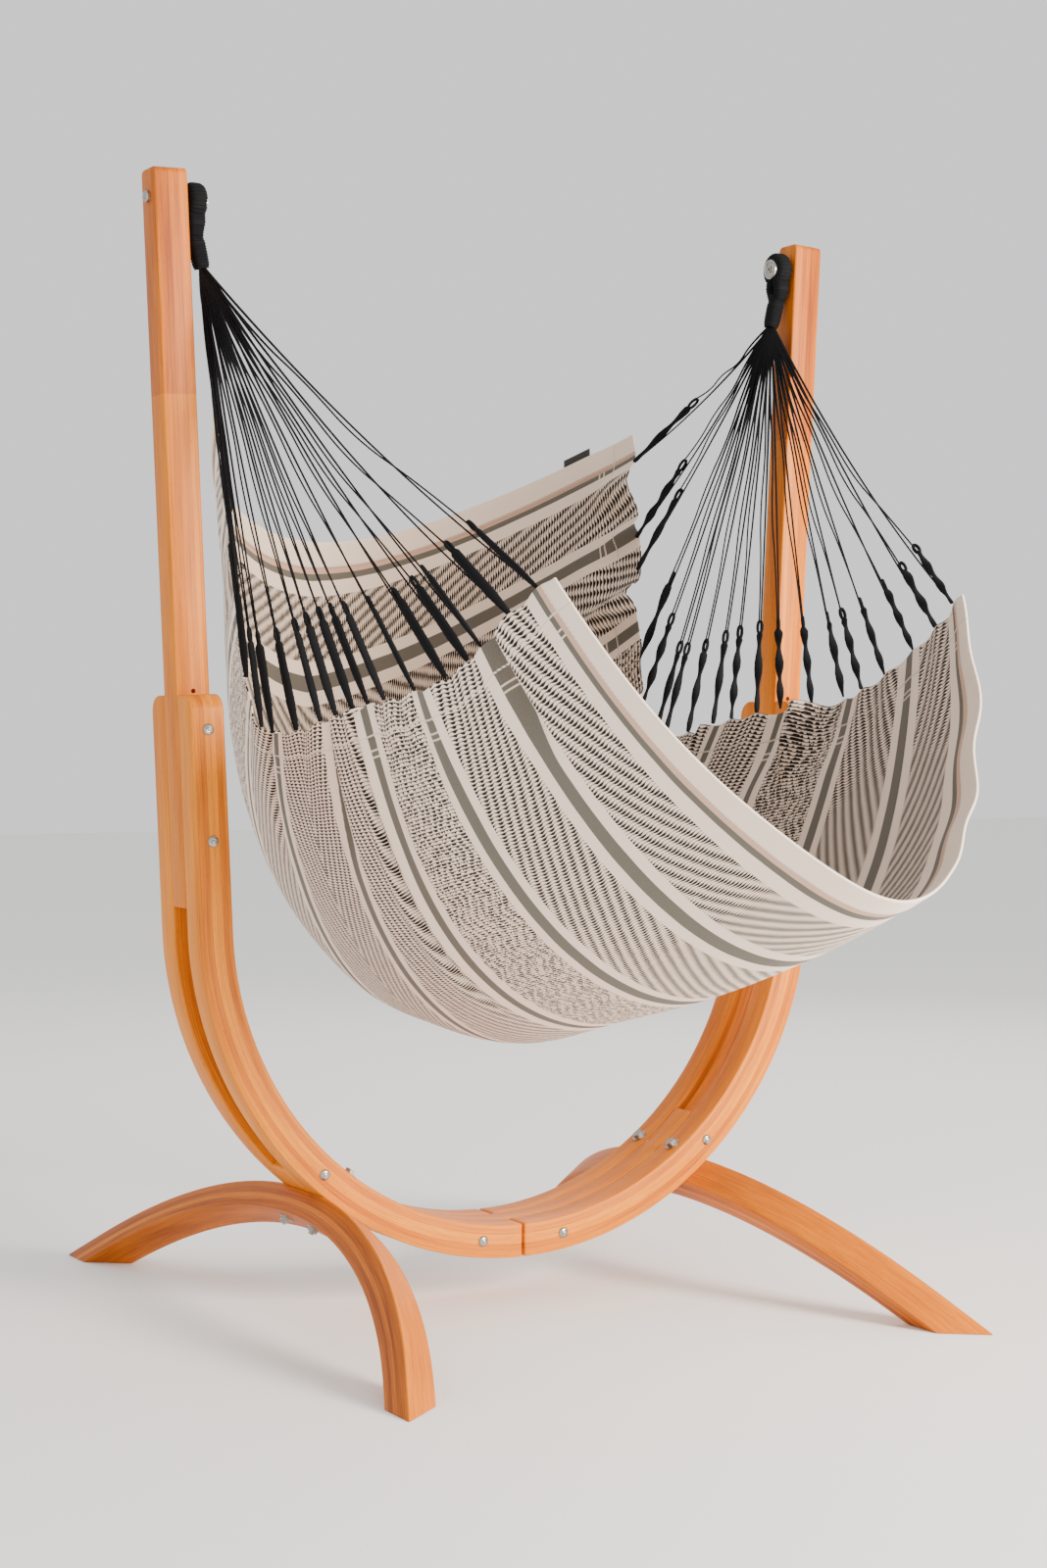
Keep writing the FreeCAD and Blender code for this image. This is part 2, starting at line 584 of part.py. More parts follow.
woven_tag = box("woven_tag", "<tag_length>", "1.6", "<tag_width>",
                tag_frame.multiply(Place(V3(-size("tag_length") / 2, -0.8, 1.5), Rot())))

# ------------------------------------------------------- cords and braided ends
fan = V3(neck_b.x, neck_b.y, neck_b.z - 3.2)


def end_mark(n):
    # Evenly spaced along the gathered side edge, from the front hem to the back hem.
    return 0.012 + 0.976 * (n + 0.25) / (size("cord_count") - 0.5)


cord_solids = []
end_solids = []
end_gap = 6.5
slant_gap = 13      # the rearmost ends leave the hem at a slant, so they start farther off
for n in range(int(size("cord_count"))):
    foot_at = cloth_point(1, end_mark(n))
    way = (fan - foot_at).normalize()
    low_at = foot_at + way * (end_gap if n < 13 else slant_gap)
    eye_at = low_at + way * size("end_length")
    end_solids.append(Part.makeCylinder(size("end_dia") / 2, size("end_length"), low_at, way))
    across = way.cross(V3(1, 0, 0)).normalize()
    for k in (-1, 1):
        start = eye_at + way * 0.5 + across * (k * 3)
        stop = fan + across * (k * 2.4) + V3(0, (n - 9) * 0.5, 0)
        line = stop - start
        cord_solids.append(Part.makeCylinder(size("cord_dia") / 2, line.Length, start, line))
cords_right = feature("cords_right", Part.makeCompound(cord_solids))
cord_ends_right = feature("cord_ends_right", Part.makeCompound(end_solids))
cords_left = mirror("cords_left", cords_right)
cord_ends_left = mirror("cord_ends_left", cord_ends_right)

# --------------------------------------------------------------------- writing
NODES = [
    post_left, post_right, cheek_front_left, cheek_rear_left, cheek_front_right, cheek_rear_right,
    centre_splice, leg_left, leg_right, post_bolts, post_nuts, splice_bolts, splice_nuts,
    leg_bolts, leg_washers, leg_nuts, hanging_pin_left, hanging_pin_right,
    retaining_cap_left, retaining_cap_right, inner_washer_left, inner_washer_right,
    outer_nut_left, outer_nut_right, rope_loop_left, rope_loop_right,
    neck_winding_left, neck_winding_right, cords_left, cords_right,
    cord_ends_left, cord_ends_right, cloth_panel, front_hem, back_hem,
    side_hem_left, side_hem_right, woven_tag,
]
doc.recompute()
for obj in doc.Objects:
    if "Invalid" in obj.State or "Error" in obj.State:
        raise RuntimeError("%s: %s" % (obj.Name, obj.State))
os.makedirs("parts", exist_ok=True)
for obj in NODES:
    obj.Label = obj.Name
    if obj.Shape.isNull() or not obj.Shape.isValid():
        raise RuntimeError("bad shape: " + obj.Name)
    obj.Shape.exportStep("parts/%s.step" % obj.Label)
    bb = obj.Shape.BoundBox
    print("%-22s solids %3d  x %.1f..%.1f  y %.1f..%.1f  z %.1f..%.1f" % (
        obj.Label, len(obj.Shape.Solids), bb.XMin, bb.XMax, bb.YMin, bb.YMax, bb.ZMin, bb.ZMax))
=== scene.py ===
import math
import random

import bmesh
import bpy
import numpy as np
from mathutils import Matrix, Vector


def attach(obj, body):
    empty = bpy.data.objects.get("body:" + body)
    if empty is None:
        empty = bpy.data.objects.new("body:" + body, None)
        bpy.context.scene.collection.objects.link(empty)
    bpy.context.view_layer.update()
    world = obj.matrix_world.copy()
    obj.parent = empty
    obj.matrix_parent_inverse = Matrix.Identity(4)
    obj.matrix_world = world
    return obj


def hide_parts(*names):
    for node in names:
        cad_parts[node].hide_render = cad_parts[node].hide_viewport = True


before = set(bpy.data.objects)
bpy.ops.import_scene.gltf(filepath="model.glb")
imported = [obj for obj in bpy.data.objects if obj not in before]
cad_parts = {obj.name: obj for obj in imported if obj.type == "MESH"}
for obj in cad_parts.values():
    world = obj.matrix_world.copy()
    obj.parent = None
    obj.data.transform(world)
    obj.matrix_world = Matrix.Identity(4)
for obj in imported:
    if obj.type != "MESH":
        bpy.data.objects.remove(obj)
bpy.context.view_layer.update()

# ------------------------------------------------------------------ real sizes, metres
HANG_Z = 1.9                        # the hanging pins above the floor
LEAN = math.radians(2.83)           # outward lean of the posts
BEND_R = 0.625                      # outer radius of the U
SECTION = 0.060                     # post and cheek width
POST_Y = 0.028                      # half depth of the posts and the splice
CHEEK_Y = 0.083                     # outer face of the cheeks
POST_FOOT, POST_TOP = 0.717, 1.95   # heights of the posts' ends
CHEEK_TOP = 1.074                   # height of the cheeks' tops
POST_ROUND, CHEEK_ROUND = 0.010, 0.028
BUTT_GAP = 0.005                    # between the left and the right cheeks
SPARE_Z, SPARE_R = 1.08, 0.0042     # the empty bolt hole in each post
POST_BOLT_Z = (1.016, 0.830)
SPLICE_BOLT_AT = (8, 41.5)          # degrees from the bottom of the U
ARC_Z = 0.079 + BEND_R              # centre of the U
LEG_AT = math.radians(36.5)         # legs on the U, from the bottom
LEG_R = 1.0                         # outer radius of the leg arch
LEG_BEND = math.radians(38)
LEG_W, LEG_D = 0.062, 0.050
LEG_FLAT = 0.0036                   # planed off the crown for its seat on the U
CLOTH_HALF = 0.415
CLOTH_FRONT, CLOTH_BACK, CLOTH_DROP = 1.127, 0.765, 1.44
CLOTH_LONG, CLOTH_WIDE = 2.7, 1.5   # the woven cloth laid flat
HEM = 0.0185                        # front and back hem as a part of the length
SIDE = 0.95                         # where the side hems begin, part of the half width
CORD_COUNT = 19                     # pairs of cords on each side
CORDS_FROM, CORDS_OVER = 0.012, 0.976   # the stretch of the side edge that they hold
CORD_D = 0.0029
END_LONG = 0.18                     # braided ends
LOOP_X = 0.6039
FAN = Vector((LOOP_X - 0.015, 0, HANG_Z - 0.1092))   # where the cords leave the neck
CAP_X = 0.5884                      # seat of the retaining caps on the pins

INNER_R = BEND_R - SECTION
ARM_AT = Vector((INNER_R * math.cos(LEAN), 0, ARC_Z - INNER_R * math.sin(LEAN)))
ARM = Matrix.Translation(ARM_AT) @ Matrix.Rotation(LEAN, 4, "Y")
flat_seat = BEND_R - math.sqrt(BEND_R ** 2 - (LEG_W / 2) ** 2)
LEG_DIR = Vector((math.sin(LEG_AT), 0, -math.cos(LEG_AT)))
LEG_FRAME = (Matrix.Translation(Vector((0, 0, ARC_Z)) + LEG_DIR * (BEND_R - flat_seat - LEG_FLAT))
             @ Matrix.Rotation(-LEG_AT, 4, "Y"))


# ------------------------------------------------------------------ small helpers
def linear(hex_colour):
    """sRGB hex to the linear colour that the shaders take."""
    parts = [int(hex_colour[i:i + 2], 16) / 255 for i in (1, 3, 5)]
    return [c / 12.92 if c <= 0.04045 else ((c + 0.055) / 1.055) ** 2.4 for c in parts] + [1.0]


def node(tree, kind, settings=None, **links):
    """Adds a shader node; links name its inputs (spaces as _) or give input numbers as n0, n1."""
    made = tree.nodes.new(kind)
    for key, value in (settings or {}).items():
        setattr(made, key, value)
    for key, value in links.items():
        socket = made.inputs[int(key[1:])] if key[1:].isdigit() else made.inputs[key.replace("_", " ")]
        if isinstance(value, bpy.types.NodeSocket):
            tree.links.new(value, socket)
        else:
            socket.default_value = value
    return made


def maths(tree, operation, a, b=0.0, c=0.0, clamp=False):
    settings = {"operation": operation, "use_clamp": clamp}
    return node(tree, "ShaderNodeMath", settings, n0=a, n1=b, n2=c).outputs[0]


def blend_colour(tree, factor, a, b, kind="MIX"):
    made = node(tree, "ShaderNodeMix", {"data_type": "RGBA", "blend_type": kind}, n0=factor, n6=a, n7=b)
    return made.outputs[2]


def new_material(name, **shader):
    made = bpy.data.materials.new(name)
    made.use_nodes = True
    surface = made.node_tree.nodes["Principled BSDF"]
    for key, value in shader.items():
        surface.inputs[key.replace("_", " ")].default_value = value
    return made, made.node_tree, surface


def only(*objects):
    bpy.ops.object.select_all(action="DESELECT")
    for o in objects:
        o.select_set(True)
    bpy.context.view_layer.objects.active = objects[0]


def named(name, material):
    made = bpy.context.object
    made.name = name
    made.data.name = name
    made.data.materials.clear()
    made.data.materials.append(material)
    return made


def settle(o):
    """Puts the object at the origin with its place in its mesh."""
    only(o)
    bpy.ops.object.transform_apply(location=True, rotation=True, scale=True)
    return o


def outward(o):
    only(o)
    bpy.ops.object.mode_set(mode="EDIT")
    bpy.ops.mesh.select_all(action="SELECT")
    bpy.ops.mesh.remove_doubles(threshold=0.00002)
    bpy.ops.mesh.normals_make_consistent(inside=False)
    bpy.ops.object.mode_set(mode="OBJECT")


def finish_modifier(o, kind, **settings):
    only(o)
    made = o.modifiers.new("step", kind)
    for key, value in settings.items():
        setattr(made, key, value)
    bpy.ops.object.modifier_apply(modifier=made.name)


def smooth(o, degrees=35):
    only(o)
    bpy.ops.object.shade_smooth_by_angle(angle=math.radians(degrees))


def select_faces(o, test):
    """Selects faces in edit mode by the place and normal of each."""
    bpy.ops.mesh.select_mode(type="FACE")
    bpy.ops.mesh.select_all(action="DESELECT")
    form = bmesh.from_edit_mesh(o.data)
    for face in form.faces:
        if test(face.calc_center_median(), face.normal):
            face.select_set(True)
    bmesh.update_edit_mesh(o.data)


def select_edges(o, test):
    bpy.ops.mesh.select_mode(type="EDGE")
    bpy.ops.mesh.select_all(action="DESELECT")
    form = bmesh.from_edit_mesh(o.data)
    for edge in form.edges:
        if test(edge.verts[0].co, edge.verts[1].co):
            edge.select_set(True)
    bmesh.update_edit_mesh(o.data)


def mirrored(o, name):
    """A copy on the other side, with its own mesh."""
    only(o)
    bpy.ops.object.duplicate()
    copy = bpy.context.object
    copy.name = name
    copy.data.name = name
    copy.scale.x = -1
    bpy.ops.object.transform_apply(location=False, rotation=False, scale=True)
    outward(copy)
    return copy


def join(objects, name):
    only(*objects)
    bpy.ops.object.join()
    made = bpy.context.object
    made.name = name
    made.data.name = name
    return made


def dress(o, body, slot, *nodes):
    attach(o, body)
    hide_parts(*nodes)
    return o


# ------------------------------------------------------------------ materials
PLY, GLUE_LINE = 0.0095, 0.00076    # the laminated timber's plies and the glue between them
POST_BOARD, LEG_BOARD = 3.1, 6.0    # where the posts and legs lie along the grain's measure


def eucalyptus():
    # Laminated eucalyptus, planed and oiled: warm orange plies of slightly different
    # tone glued one on another, fine straight grain with short dark pores, a satin sheen.
    made, tree, surface = new_material("laminated_eucalyptus", Roughness=0.42, Specular_IOR_Level=0.2)
    at = node(tree, "ShaderNodeAttribute", {"attribute_name": "grain"}).outputs["Vector"]
    along, across = node(tree, "ShaderNodeSeparateXYZ", n0=at).outputs[:2]

    def noise(scale, detail, roughness=0.5):
        place = node(tree, "ShaderNodeVectorMath", {"operation": "MULTIPLY"}, n0=at, n1=scale).outputs[0]
        return node(tree, "ShaderNodeTexNoise", n0=place, Scale=1.0, Detail=detail,
                    Roughness=roughness).outputs["Fac"]

    bent = maths(tree, "MULTIPLY_ADD", noise((5.0, 18.0, 18.0), 2.0), 0.003, across)
    ply = maths(tree, "DIVIDE", bent, PLY)
    lamella = node(tree, "ShaderNodeTexWhiteNoise", {"noise_dimensions": "1D"},
                   W=maths(tree, "FLOOR", ply)).outputs["Value"]
    glue = maths(tree, "LESS_THAN", maths(tree, "PINGPONG", ply, 0.5), GLUE_LINE / PLY / 2)
    streak = noise((9.0, 520.0, 300.0), 4.0, 0.65)
    broad = noise((2.2, 42.0, 26.0), 3.0)
    # The legs, which lie around LEG_BOARD along the grain, are cut from a redder board.
    board = maths(tree, "MULTIPLY", maths(tree, "GREATER_THAN", along, LEG_BOARD - 2.0), -0.13)
    tone = maths(tree, "MULTIPLY_ADD", lamella, 0.24, maths(
        tree, "MULTIPLY_ADD", streak, 0.66, maths(tree, "MULTIPLY_ADD", broad, 0.62, -0.26)))
    tone = maths(tree, "ADD", tone, board)
    ramp = node(tree, "ShaderNodeValToRGB", Fac=tone)
    colours = ramp.color_ramp
    colours.elements[0].position = 0.15
    colours.elements[0].color = linear("#8A3C02")
    colours.elements[1].position = 0.88
    colours.elements[1].color = linear("#F5A01E")
    colours.elements.new(0.40).color = linear("#C46600")
    colours.elements.new(0.62).color = linear("#E08206")
    pores = maths(tree, "GREATER_THAN", noise((75.0, 1500.0, 1500.0), 1.0), 0.66)
    marked = blend_colour(tree, maths(tree, "MULTIPLY", pores, 0.42), ramp.outputs["Color"],
                          linear("#8C4714"))
    knots = maths(tree, "GREATER_THAN", noise((14.0, 170.0, 170.0), 1.0), 0.79)
    marked = blend_colour(tree, maths(tree, "MULTIPLY", knots, 0.5), marked, linear("#7A3A12"))
    lined = blend_colour(tree, maths(tree, "MULTIPLY", glue, 0.40), marked, linear("#8A4715"))
    tree.links.new(lined, surface.inputs["Base Color"])
    rise = maths(tree, "SUBTRACT", streak, maths(tree, "MULTIPLY", glue, 0.5))
    bump = node(tree, "ShaderNodeBump", Strength=0.22, Distance=0.0006, Height=rise)
    tree.links.new(bump.outputs[0], surface.inputs["Normal"])
    tree.links.new(maths(tree, "MULTIPLY_ADD", streak, 0.18, 0.34), surface.inputs["Roughness"])
    return made


# Stripe centres across the cloth, metres from the nearer hem, and the half width of the
# grey in each. A cream band lies on both sides of each grey one.
STRIPES = [(0.268, 0.015), (0.536, 0.016), (0.845, 0.012), (1.153, 0.015)]
CREAM_REACH = 0.041
EDGE_PINK, EDGE_GREY, EDGE_HALF = 0.053, 0.066, 0.0065   # thin stripes along the hem
EDGE_CREAM = 0.102                  # the hem's plain margin
THREAD = 0.0050                     # weft floats: finer than real ones would not show
ROW, SLANT = 0.027, 0.047           # spacing and slope of the rows that the floats stand in
ZIGZAG_HALF, ZIGZAG_STEEP = 0.036, 34.0
PICKS, PICK_HALF = (0.697, 0.689), 0.0012   # cream picks across the grey, beside the side hems
SEAM_HALF, STITCH = 0.0011, 0.006
WEAVE = 3500.0                      # threads of the ground, radians a metre


def striped_cotton():
    # Jacquard woven cotton: cream ground, smooth grey warp stripes, and zones of dark
    # weft floats that stand in slanting rows. Matt, with threads that just show.
    made, tree, surface = new_material("jacquard_cotton", Roughness=0.92, Specular_IOR_Level=0.2)
    surface.inputs["Sheen Weight"].default_value = 0.12
    spot = node(tree, "ShaderNodeUVMap", {"uv_map": "cloth"}).outputs[0]
    wander = node(tree, "ShaderNodeTexNoise", n0=spot, Scale=14.0, Detail=1.0)
    moved = node(tree, "ShaderNodeVectorMath", {"operation": "MULTIPLY_ADD"}, n0=wander.outputs["Color"],
                 n1=(0.003, 0.003, 0.0), n2=spot).outputs[0]
    axes = node(tree, "ShaderNodeSeparateXYZ", n0=moved)
    s, t = axes.outputs[0], axes.outputs[1]
    near = maths(tree, "SUBTRACT", CLOTH_LONG / 2, maths(
        tree, "ABSOLUTE", maths(tree, "SUBTRACT", t, CLOTH_LONG / 2)))
    grey = maths(tree, "COMPARE", near, EDGE_GREY, EDGE_HALF)
    plain = maths(tree, "LESS_THAN", near, EDGE_CREAM)
    zone = 0.0
    for centre, half in STRIPES:
        grey = maths(tree, "ADD", grey, maths(tree, "COMPARE", near, centre, half))
        plain = maths(tree, "ADD", plain, maths(tree, "COMPARE", near, centre, CREAM_REACH))
        zone = maths(tree, "ADD", zone, maths(tree, "GREATER_THAN", near, centre))
    pink = maths(tree, "COMPARE", near, EDGE_PINK, EDGE_HALF)
    # Zones count from the hem: rows slant one way in 0 and 3, the other way in 1 and 4, and
    # run in zigzags in 2.
    zigzag = maths(tree, "COMPARE", zone, 2.0, 0.5)
    slope = maths(tree, "MULTIPLY_ADD", maths(tree, "ADD", maths(tree, "COMPARE", zone, 0.0, 0.5),
                                              maths(tree, "COMPARE", zone, 3.0, 0.5)), 2.0, -1.0)
    thread = maths(tree, "DIVIDE", s, THREAD)
    place = maths(tree, "FRACT", thread)
    step = maths(tree, "MULTIPLY", maths(tree, "FLOOR", thread), THREAD)
    rows = maths(tree, "DIVIDE", near, ROW)
    slant = maths(tree, "MULTIPLY", maths(tree, "DIVIDE", step, SLANT), slope)
    chevron = maths(tree, "MULTIPLY", maths(tree, "PINGPONG", step, ZIGZAG_HALF), ZIGZAG_STEEP)
    lean_by = maths(tree, "ADD", maths(tree, "MULTIPLY", slant, maths(tree, "SUBTRACT", 1.0, zigzag)),
                    maths(tree, "MULTIPLY", chevron, zigzag))
    grain = node(tree, "ShaderNodeTexNoise", n0=spot, Scale=90.0, Detail=1.0)
    jitter = maths(tree, "MULTIPLY", maths(tree, "SUBTRACT", grain.outputs["Fac"], 0.5),
                   maths(tree, "MULTIPLY_ADD", zigzag, 1.6, 0.3))
    phase = maths(tree, "ADD", maths(tree, "ADD", rows, lean_by), jitter)
    turn = maths(tree, "MULTIPLY", phase, 6.2832)
    wave = maths(tree, "MULTIPLY_ADD", maths(tree, "SINE", turn), 0.5, 0.5)
    # The face of the cloth that faces the sitter gets painted shade: its dark weft floats are drawn wider,
    # and further down its colour is multiplied darker.
    inside_shade = node(tree, "ShaderNodeAttribute", {"attribute_name": "inside_shade"}).outputs["Fac"]
    width = maths(tree, "ADD", maths(tree, "MULTIPLY_ADD", wave, 0.60, 0.17),
                  maths(tree, "MULTIPLY", inside_shade, 0.10))
    float_on = maths(tree, "LESS_THAN", place, width)
    dashes = maths(tree, "MULTIPLY", float_on, maths(tree, "SUBTRACT", 1.0, plain, clamp=True))
    fine = node(tree, "ShaderNodeTexNoise", n0=spot, Scale=700.0, Detail=1.0)
    cream = blend_colour(tree, fine.outputs["Fac"], linear("#F7DEC8"), linear("#FFF0E0"))
    slate = blend_colour(tree, fine.outputs["Fac"], linear("#545048"), linear("#7D776C"))
    dark = blend_colour(tree, wave, linear("#6A5B50"), linear("#161210"))
    side = maths(tree, "ABSOLUTE", s)
    picks = maths(tree, "ADD", maths(tree, "COMPARE", side, PICKS[0], PICK_HALF),
                  maths(tree, "COMPARE", side, PICKS[1], PICK_HALF))
    grey_shown = maths(tree, "MULTIPLY", grey, maths(tree, "MULTIPLY_ADD", picks, -0.75, 1.0),
                       clamp=True)
    ground = blend_colour(tree, pink, cream, linear("#D3AE97"))
    ground = blend_colour(tree, grey_shown, ground, slate)
    ground = blend_colour(tree, dashes, ground, dark)
    # Hem stitching: stitches 4 mm long in cream thread on a faint seam line.
    seam = maths(tree, "ADD", maths(tree, "COMPARE", side, CLOTH_WIDE / 2 * SIDE + 0.002, SEAM_HALF),
                 maths(tree, "COMPARE", near, CLOTH_LONG * HEM - 0.004, SEAM_HALF), clamp=True)
    beat = maths(tree, "GREATER_THAN", maths(tree, "FRACT", maths(
        tree, "DIVIDE", maths(tree, "ADD", s, t), STITCH)), 0.3)
    ground = blend_colour(tree, maths(tree, "MULTIPLY", seam, 0.55), ground, linear("#8D8178"))
    ground = blend_colour(tree, maths(tree, "MULTIPLY", seam, beat), ground, linear("#F3E6DA"))
    # Painted shade: the face of the cloth towards the sitter is multiplied darker.
    ground = blend_colour(tree, maths(tree, "MULTIPLY", inside_shade, 0.30), ground, linear("#8A7766"),
                          "MULTIPLY")
    tree.links.new(ground, surface.inputs["Base Color"])
    weave = maths(tree, "ADD", maths(tree, "SINE", maths(tree, "MULTIPLY", s, WEAVE)),
                  maths(tree, "SINE", maths(tree, "MULTIPLY", t, WEAVE)))
    height = maths(tree, "MULTIPLY_ADD", weave, 0.15, maths(
        tree, "MULTIPLY_ADD", float_on, maths(tree, "MULTIPLY", maths(tree, "SUBTRACT", 1.0, plain), 0.5),
        maths(tree, "MULTIPLY", seam, -0.8)))
    bump = node(tree, "ShaderNodeBump", Strength=0.35, Distance=0.0007, Height=height)
    tree.links.new(bump.outputs[0], surface.inputs["Normal"])
    return made


def black_polyester():
    # Spun black polyester cord: matt blue-black, with a soft fuzz that catches the light.
    made, tree, surface = new_material("black_polyester_cord", Roughness=0.82, Specular_IOR_Level=0.18)
    spot = node(tree, "ShaderNodeTexCoord").outputs["Object"]
    fibre = node(tree, "ShaderNodeTexNoise", n0=spot, Scale=420.0, Detail=3.0)
    tree.links.new(blend_colour(tree, fibre.outputs["Fac"], linear("#020203"), linear("#0D0E13")),
                   surface.inputs["Base Color"])
    bump = node(tree, "ShaderNodeBump", Strength=0.4, Distance=0.0005, Height=fibre.outputs["Fac"])
    tree.links.new(bump.outputs[0], surface.inputs["Normal"])
    return made


def zinc_steel():
    # Bright zinc plated steel: cool grey metal, faint cloudy spangle, fine wear.
    made, tree, surface = new_material("zinc_plated_steel", Metallic=1.0)
    spot = node(tree, "ShaderNodeTexCoord").outputs["Object"]
    cloud = node(tree, "ShaderNodeTexNoise", n0=spot, Scale=160.0, Detail=3.0)
    tree.links.new(blend_colour(tree, cloud.outputs["Fac"], linear("#8E8B86"), linear("#B9B6B0")),
                   surface.inputs["Base Color"])
    tree.links.new(maths(tree, "MULTIPLY_ADD", cloud.outputs["Fac"], 0.2, 0.2), surface.inputs["Roughness"])
    return made


def ribbon():
    # Woven polyester ribbon: charcoal, with fine ribs along it.
    made, tree, surface = new_material("woven_ribbon", Roughness=0.8)
    spot = node(tree, "ShaderNodeTexCoord").outputs["Object"]
    ribs = node(tree, "ShaderNodeTexNoise", n0=spot, Scale=900.0, Detail=2.0)
    tree.links.new(blend_colour(tree, ribs.outputs["Fac"], linear("#1E1C1B"), linear("#35322F")),
                   surface.inputs["Base Color"])
    bump = node(tree, "ShaderNodeBump", Strength=0.4, Distance=0.0004, Height=ribs.outputs["Fac"])
    tree.links.new(bump.outputs[0], surface.inputs["Normal"])
    return made


WOOD = eucalyptus()
COTTON = striped_cotton()
ROPE = black_polyester()
STEEL = zinc_steel()
RIBBON = ribbon()


# ------------------------------------------------------------------ the timber frame
def write_grain(o, measure):
    """Stores along, across and depth of the timber at each point, for the ply pattern."""
    grain = o.data.attributes.new("grain", "FLOAT_VECTOR", "POINT")
    for i, vertex in enumerate(o.data.vertices):
        grain.data[i].vector = measure(vertex.co)


def bar_grain(co):
    """Along the U from its lowest point, out from its inner face, and front to back."""
    p = Vector((abs(co.x), co.y, co.z))
    local = ARM.inverted() @ p
    if local.z > 0:
        return (BEND_R * (math.pi / 2 - LEAN) + local.z, local.x, p.y)
    out = Vector((p.x, 0, p.z - ARC_Z))
    angle = math.atan2(out.x, -out.z)
    return (BEND_R * angle, out.length - INNER_R, p.y)


def post_grain(co):
    local = ARM.inverted() @ Vector((abs(co.x), co.y, co.z))
    return (local.z + POST_BOARD, local.x + 0.4, local.y)


def leg_grain(co):
    local = LEG_FRAME.inverted() @ Vector((abs(co.x), co.y, co.z))
    out = Vector((local.y, local.z + LEG_R))
    angle = math.atan2(out.x, out.y)
    if abs(angle) < LEG_BEND:
        return (LEG_R * angle + LEG_BOARD, out.length - LEG_R + 1.0, local.x)
    side = 1 if local.y > 0 else -1
    way = Vector((math.cos(LEG_BEND) * side, -math.sin(LEG_BEND)))
    upwards = Vector((math.sin(LEG_BEND) * side, math.cos(LEG_BEND)))
    from_bend = Vector((local.y, local.z + LEG_R)) - upwards * LEG_R
    return (side * (LEG_R * LEG_BEND + from_bend.dot(way)) + LEG_BOARD,
            from_bend.dot(upwards) + 1.0, local.x)


def ease(o, width=0.0035):
    """Rounds every sharp edge as a router does."""
    finish_modifier(o, "BEVEL", width=width, segments=3, limit_method="ANGLE",
                    angle_limit=math.radians(32), harden_normals=False)
    smooth(o, 40)


def drill(o, place, radius):
    """Cuts a round hole along Y through the timber."""
    bpy.ops.object.select_all(action="DESELECT")
    bpy.ops.mesh.primitive_cylinder_add(vertices=24, radius=radius, depth=0.3, location=place,
                                        rotation=(math.pi / 2, 0, 0))
    bit = bpy.context.object
    finish_modifier(o, "BOOLEAN", object=bit, operation="DIFFERENCE", solver="EXACT")
    bpy.data.objects.remove(bit)


def up_arm(z):
    """The distance along the leaning arm at which its centreline is at height z."""
    return (z - ARM_AT.z + SECTION / 2 * math.sin(LEAN)) / math.cos(LEAN)


def post():
    foot, top = up_arm(POST_FOOT), (POST_TOP - ARM_AT.z) / math.cos(LEAN)
    bpy.ops.object.select_all(action="DESELECT")
    bpy.ops.mesh.primitive_cube_add(size=1, location=(SECTION / 2, 0, (foot + top) / 2))
    o = named("post_timber_right", WOOD)
    o.scale = (SECTION, POST_Y * 2, top - foot)
    settle(o)
    bpy.ops.object.mode_set(mode="EDIT")
    select_edges(o, lambda a, b: min(a.z, b.z) > top - 0.001 and abs(a.y - b.y) < 1e-5)
    bpy.ops.mesh.bevel(offset=POST_ROUND, segments=6)
    bpy.ops.object.mode_set(mode="OBJECT")
    o.data.transform(ARM)
    ease(o)
    drill(o, ARM @ Vector((SECTION / 2, 0, up_arm(SPARE_Z))), SPARE_R)
    smooth(o, 40)
    write_grain(o, post_grain)
    return o


def bent_bar(name, low_y, high_y, start, sweep, arm_long=0.0):
    """A bar of the U: its section is spun round the U's centre and drawn straight up the arm."""
    bpy.ops.object.select_all(action="DESELECT")
    middle = BEND_R - SECTION / 2
    bpy.ops.mesh.primitive_plane_add(size=1, location=(0, (low_y + high_y) / 2, ARC_Z - middle),
                                     rotation=(0, math.pi / 2, 0))
    o = named(name, WOOD)
    o.scale = (SECTION, high_y - low_y, 1)
    settle(o)
    o.data.transform(Matrix.Translation((0, 0, ARC_Z)) @ Matrix.Rotation(-start, 4, "Y")
                     @ Matrix.Translation((0, 0, -ARC_Z)))
    bpy.ops.object.mode_set(mode="EDIT")
    bpy.ops.mesh.select_all(action="SELECT")
    bpy.ops.mesh.spin(steps=max(24, int(sweep * 38)), angle=sweep, center=(0, 0, ARC_Z), axis=(0, 1, 0))
    if arm_long:
        up = ARM.to_3x3() @ Vector((0, 0, arm_long))
        bpy.ops.mesh.extrude_region_move(TRANSFORM_OT_translate={"value": up})
    bpy.ops.object.mode_set(mode="OBJECT")
    outward(o)
    return o


def cheek(name, side):
    low, high = sorted((side * POST_Y, side * CHEEK_Y))
    start = BUTT_GAP / 2 / BEND_R
    o = bent_bar(name, low, high, start, math.pi / 2 - LEAN - start, up_arm(CHEEK_TOP))
    top = (ARM @ Vector((0, 0, up_arm(CHEEK_TOP)))).z
    bpy.ops.object.mode_set(mode="EDIT")
    select_edges(o, lambda a, b: min(a.z, b.z) > top - 0.006 and abs(a.y - b.y) < 1e-5
                 and abs(a.y - side * CHEEK_Y) < 1e-4)
    bpy.ops.mesh.bevel(offset=CHEEK_ROUND, segments=8)
    bpy.ops.object.mode_set(mode="OBJECT")
    ease(o)
    write_grain(o, bar_grain)
    return o


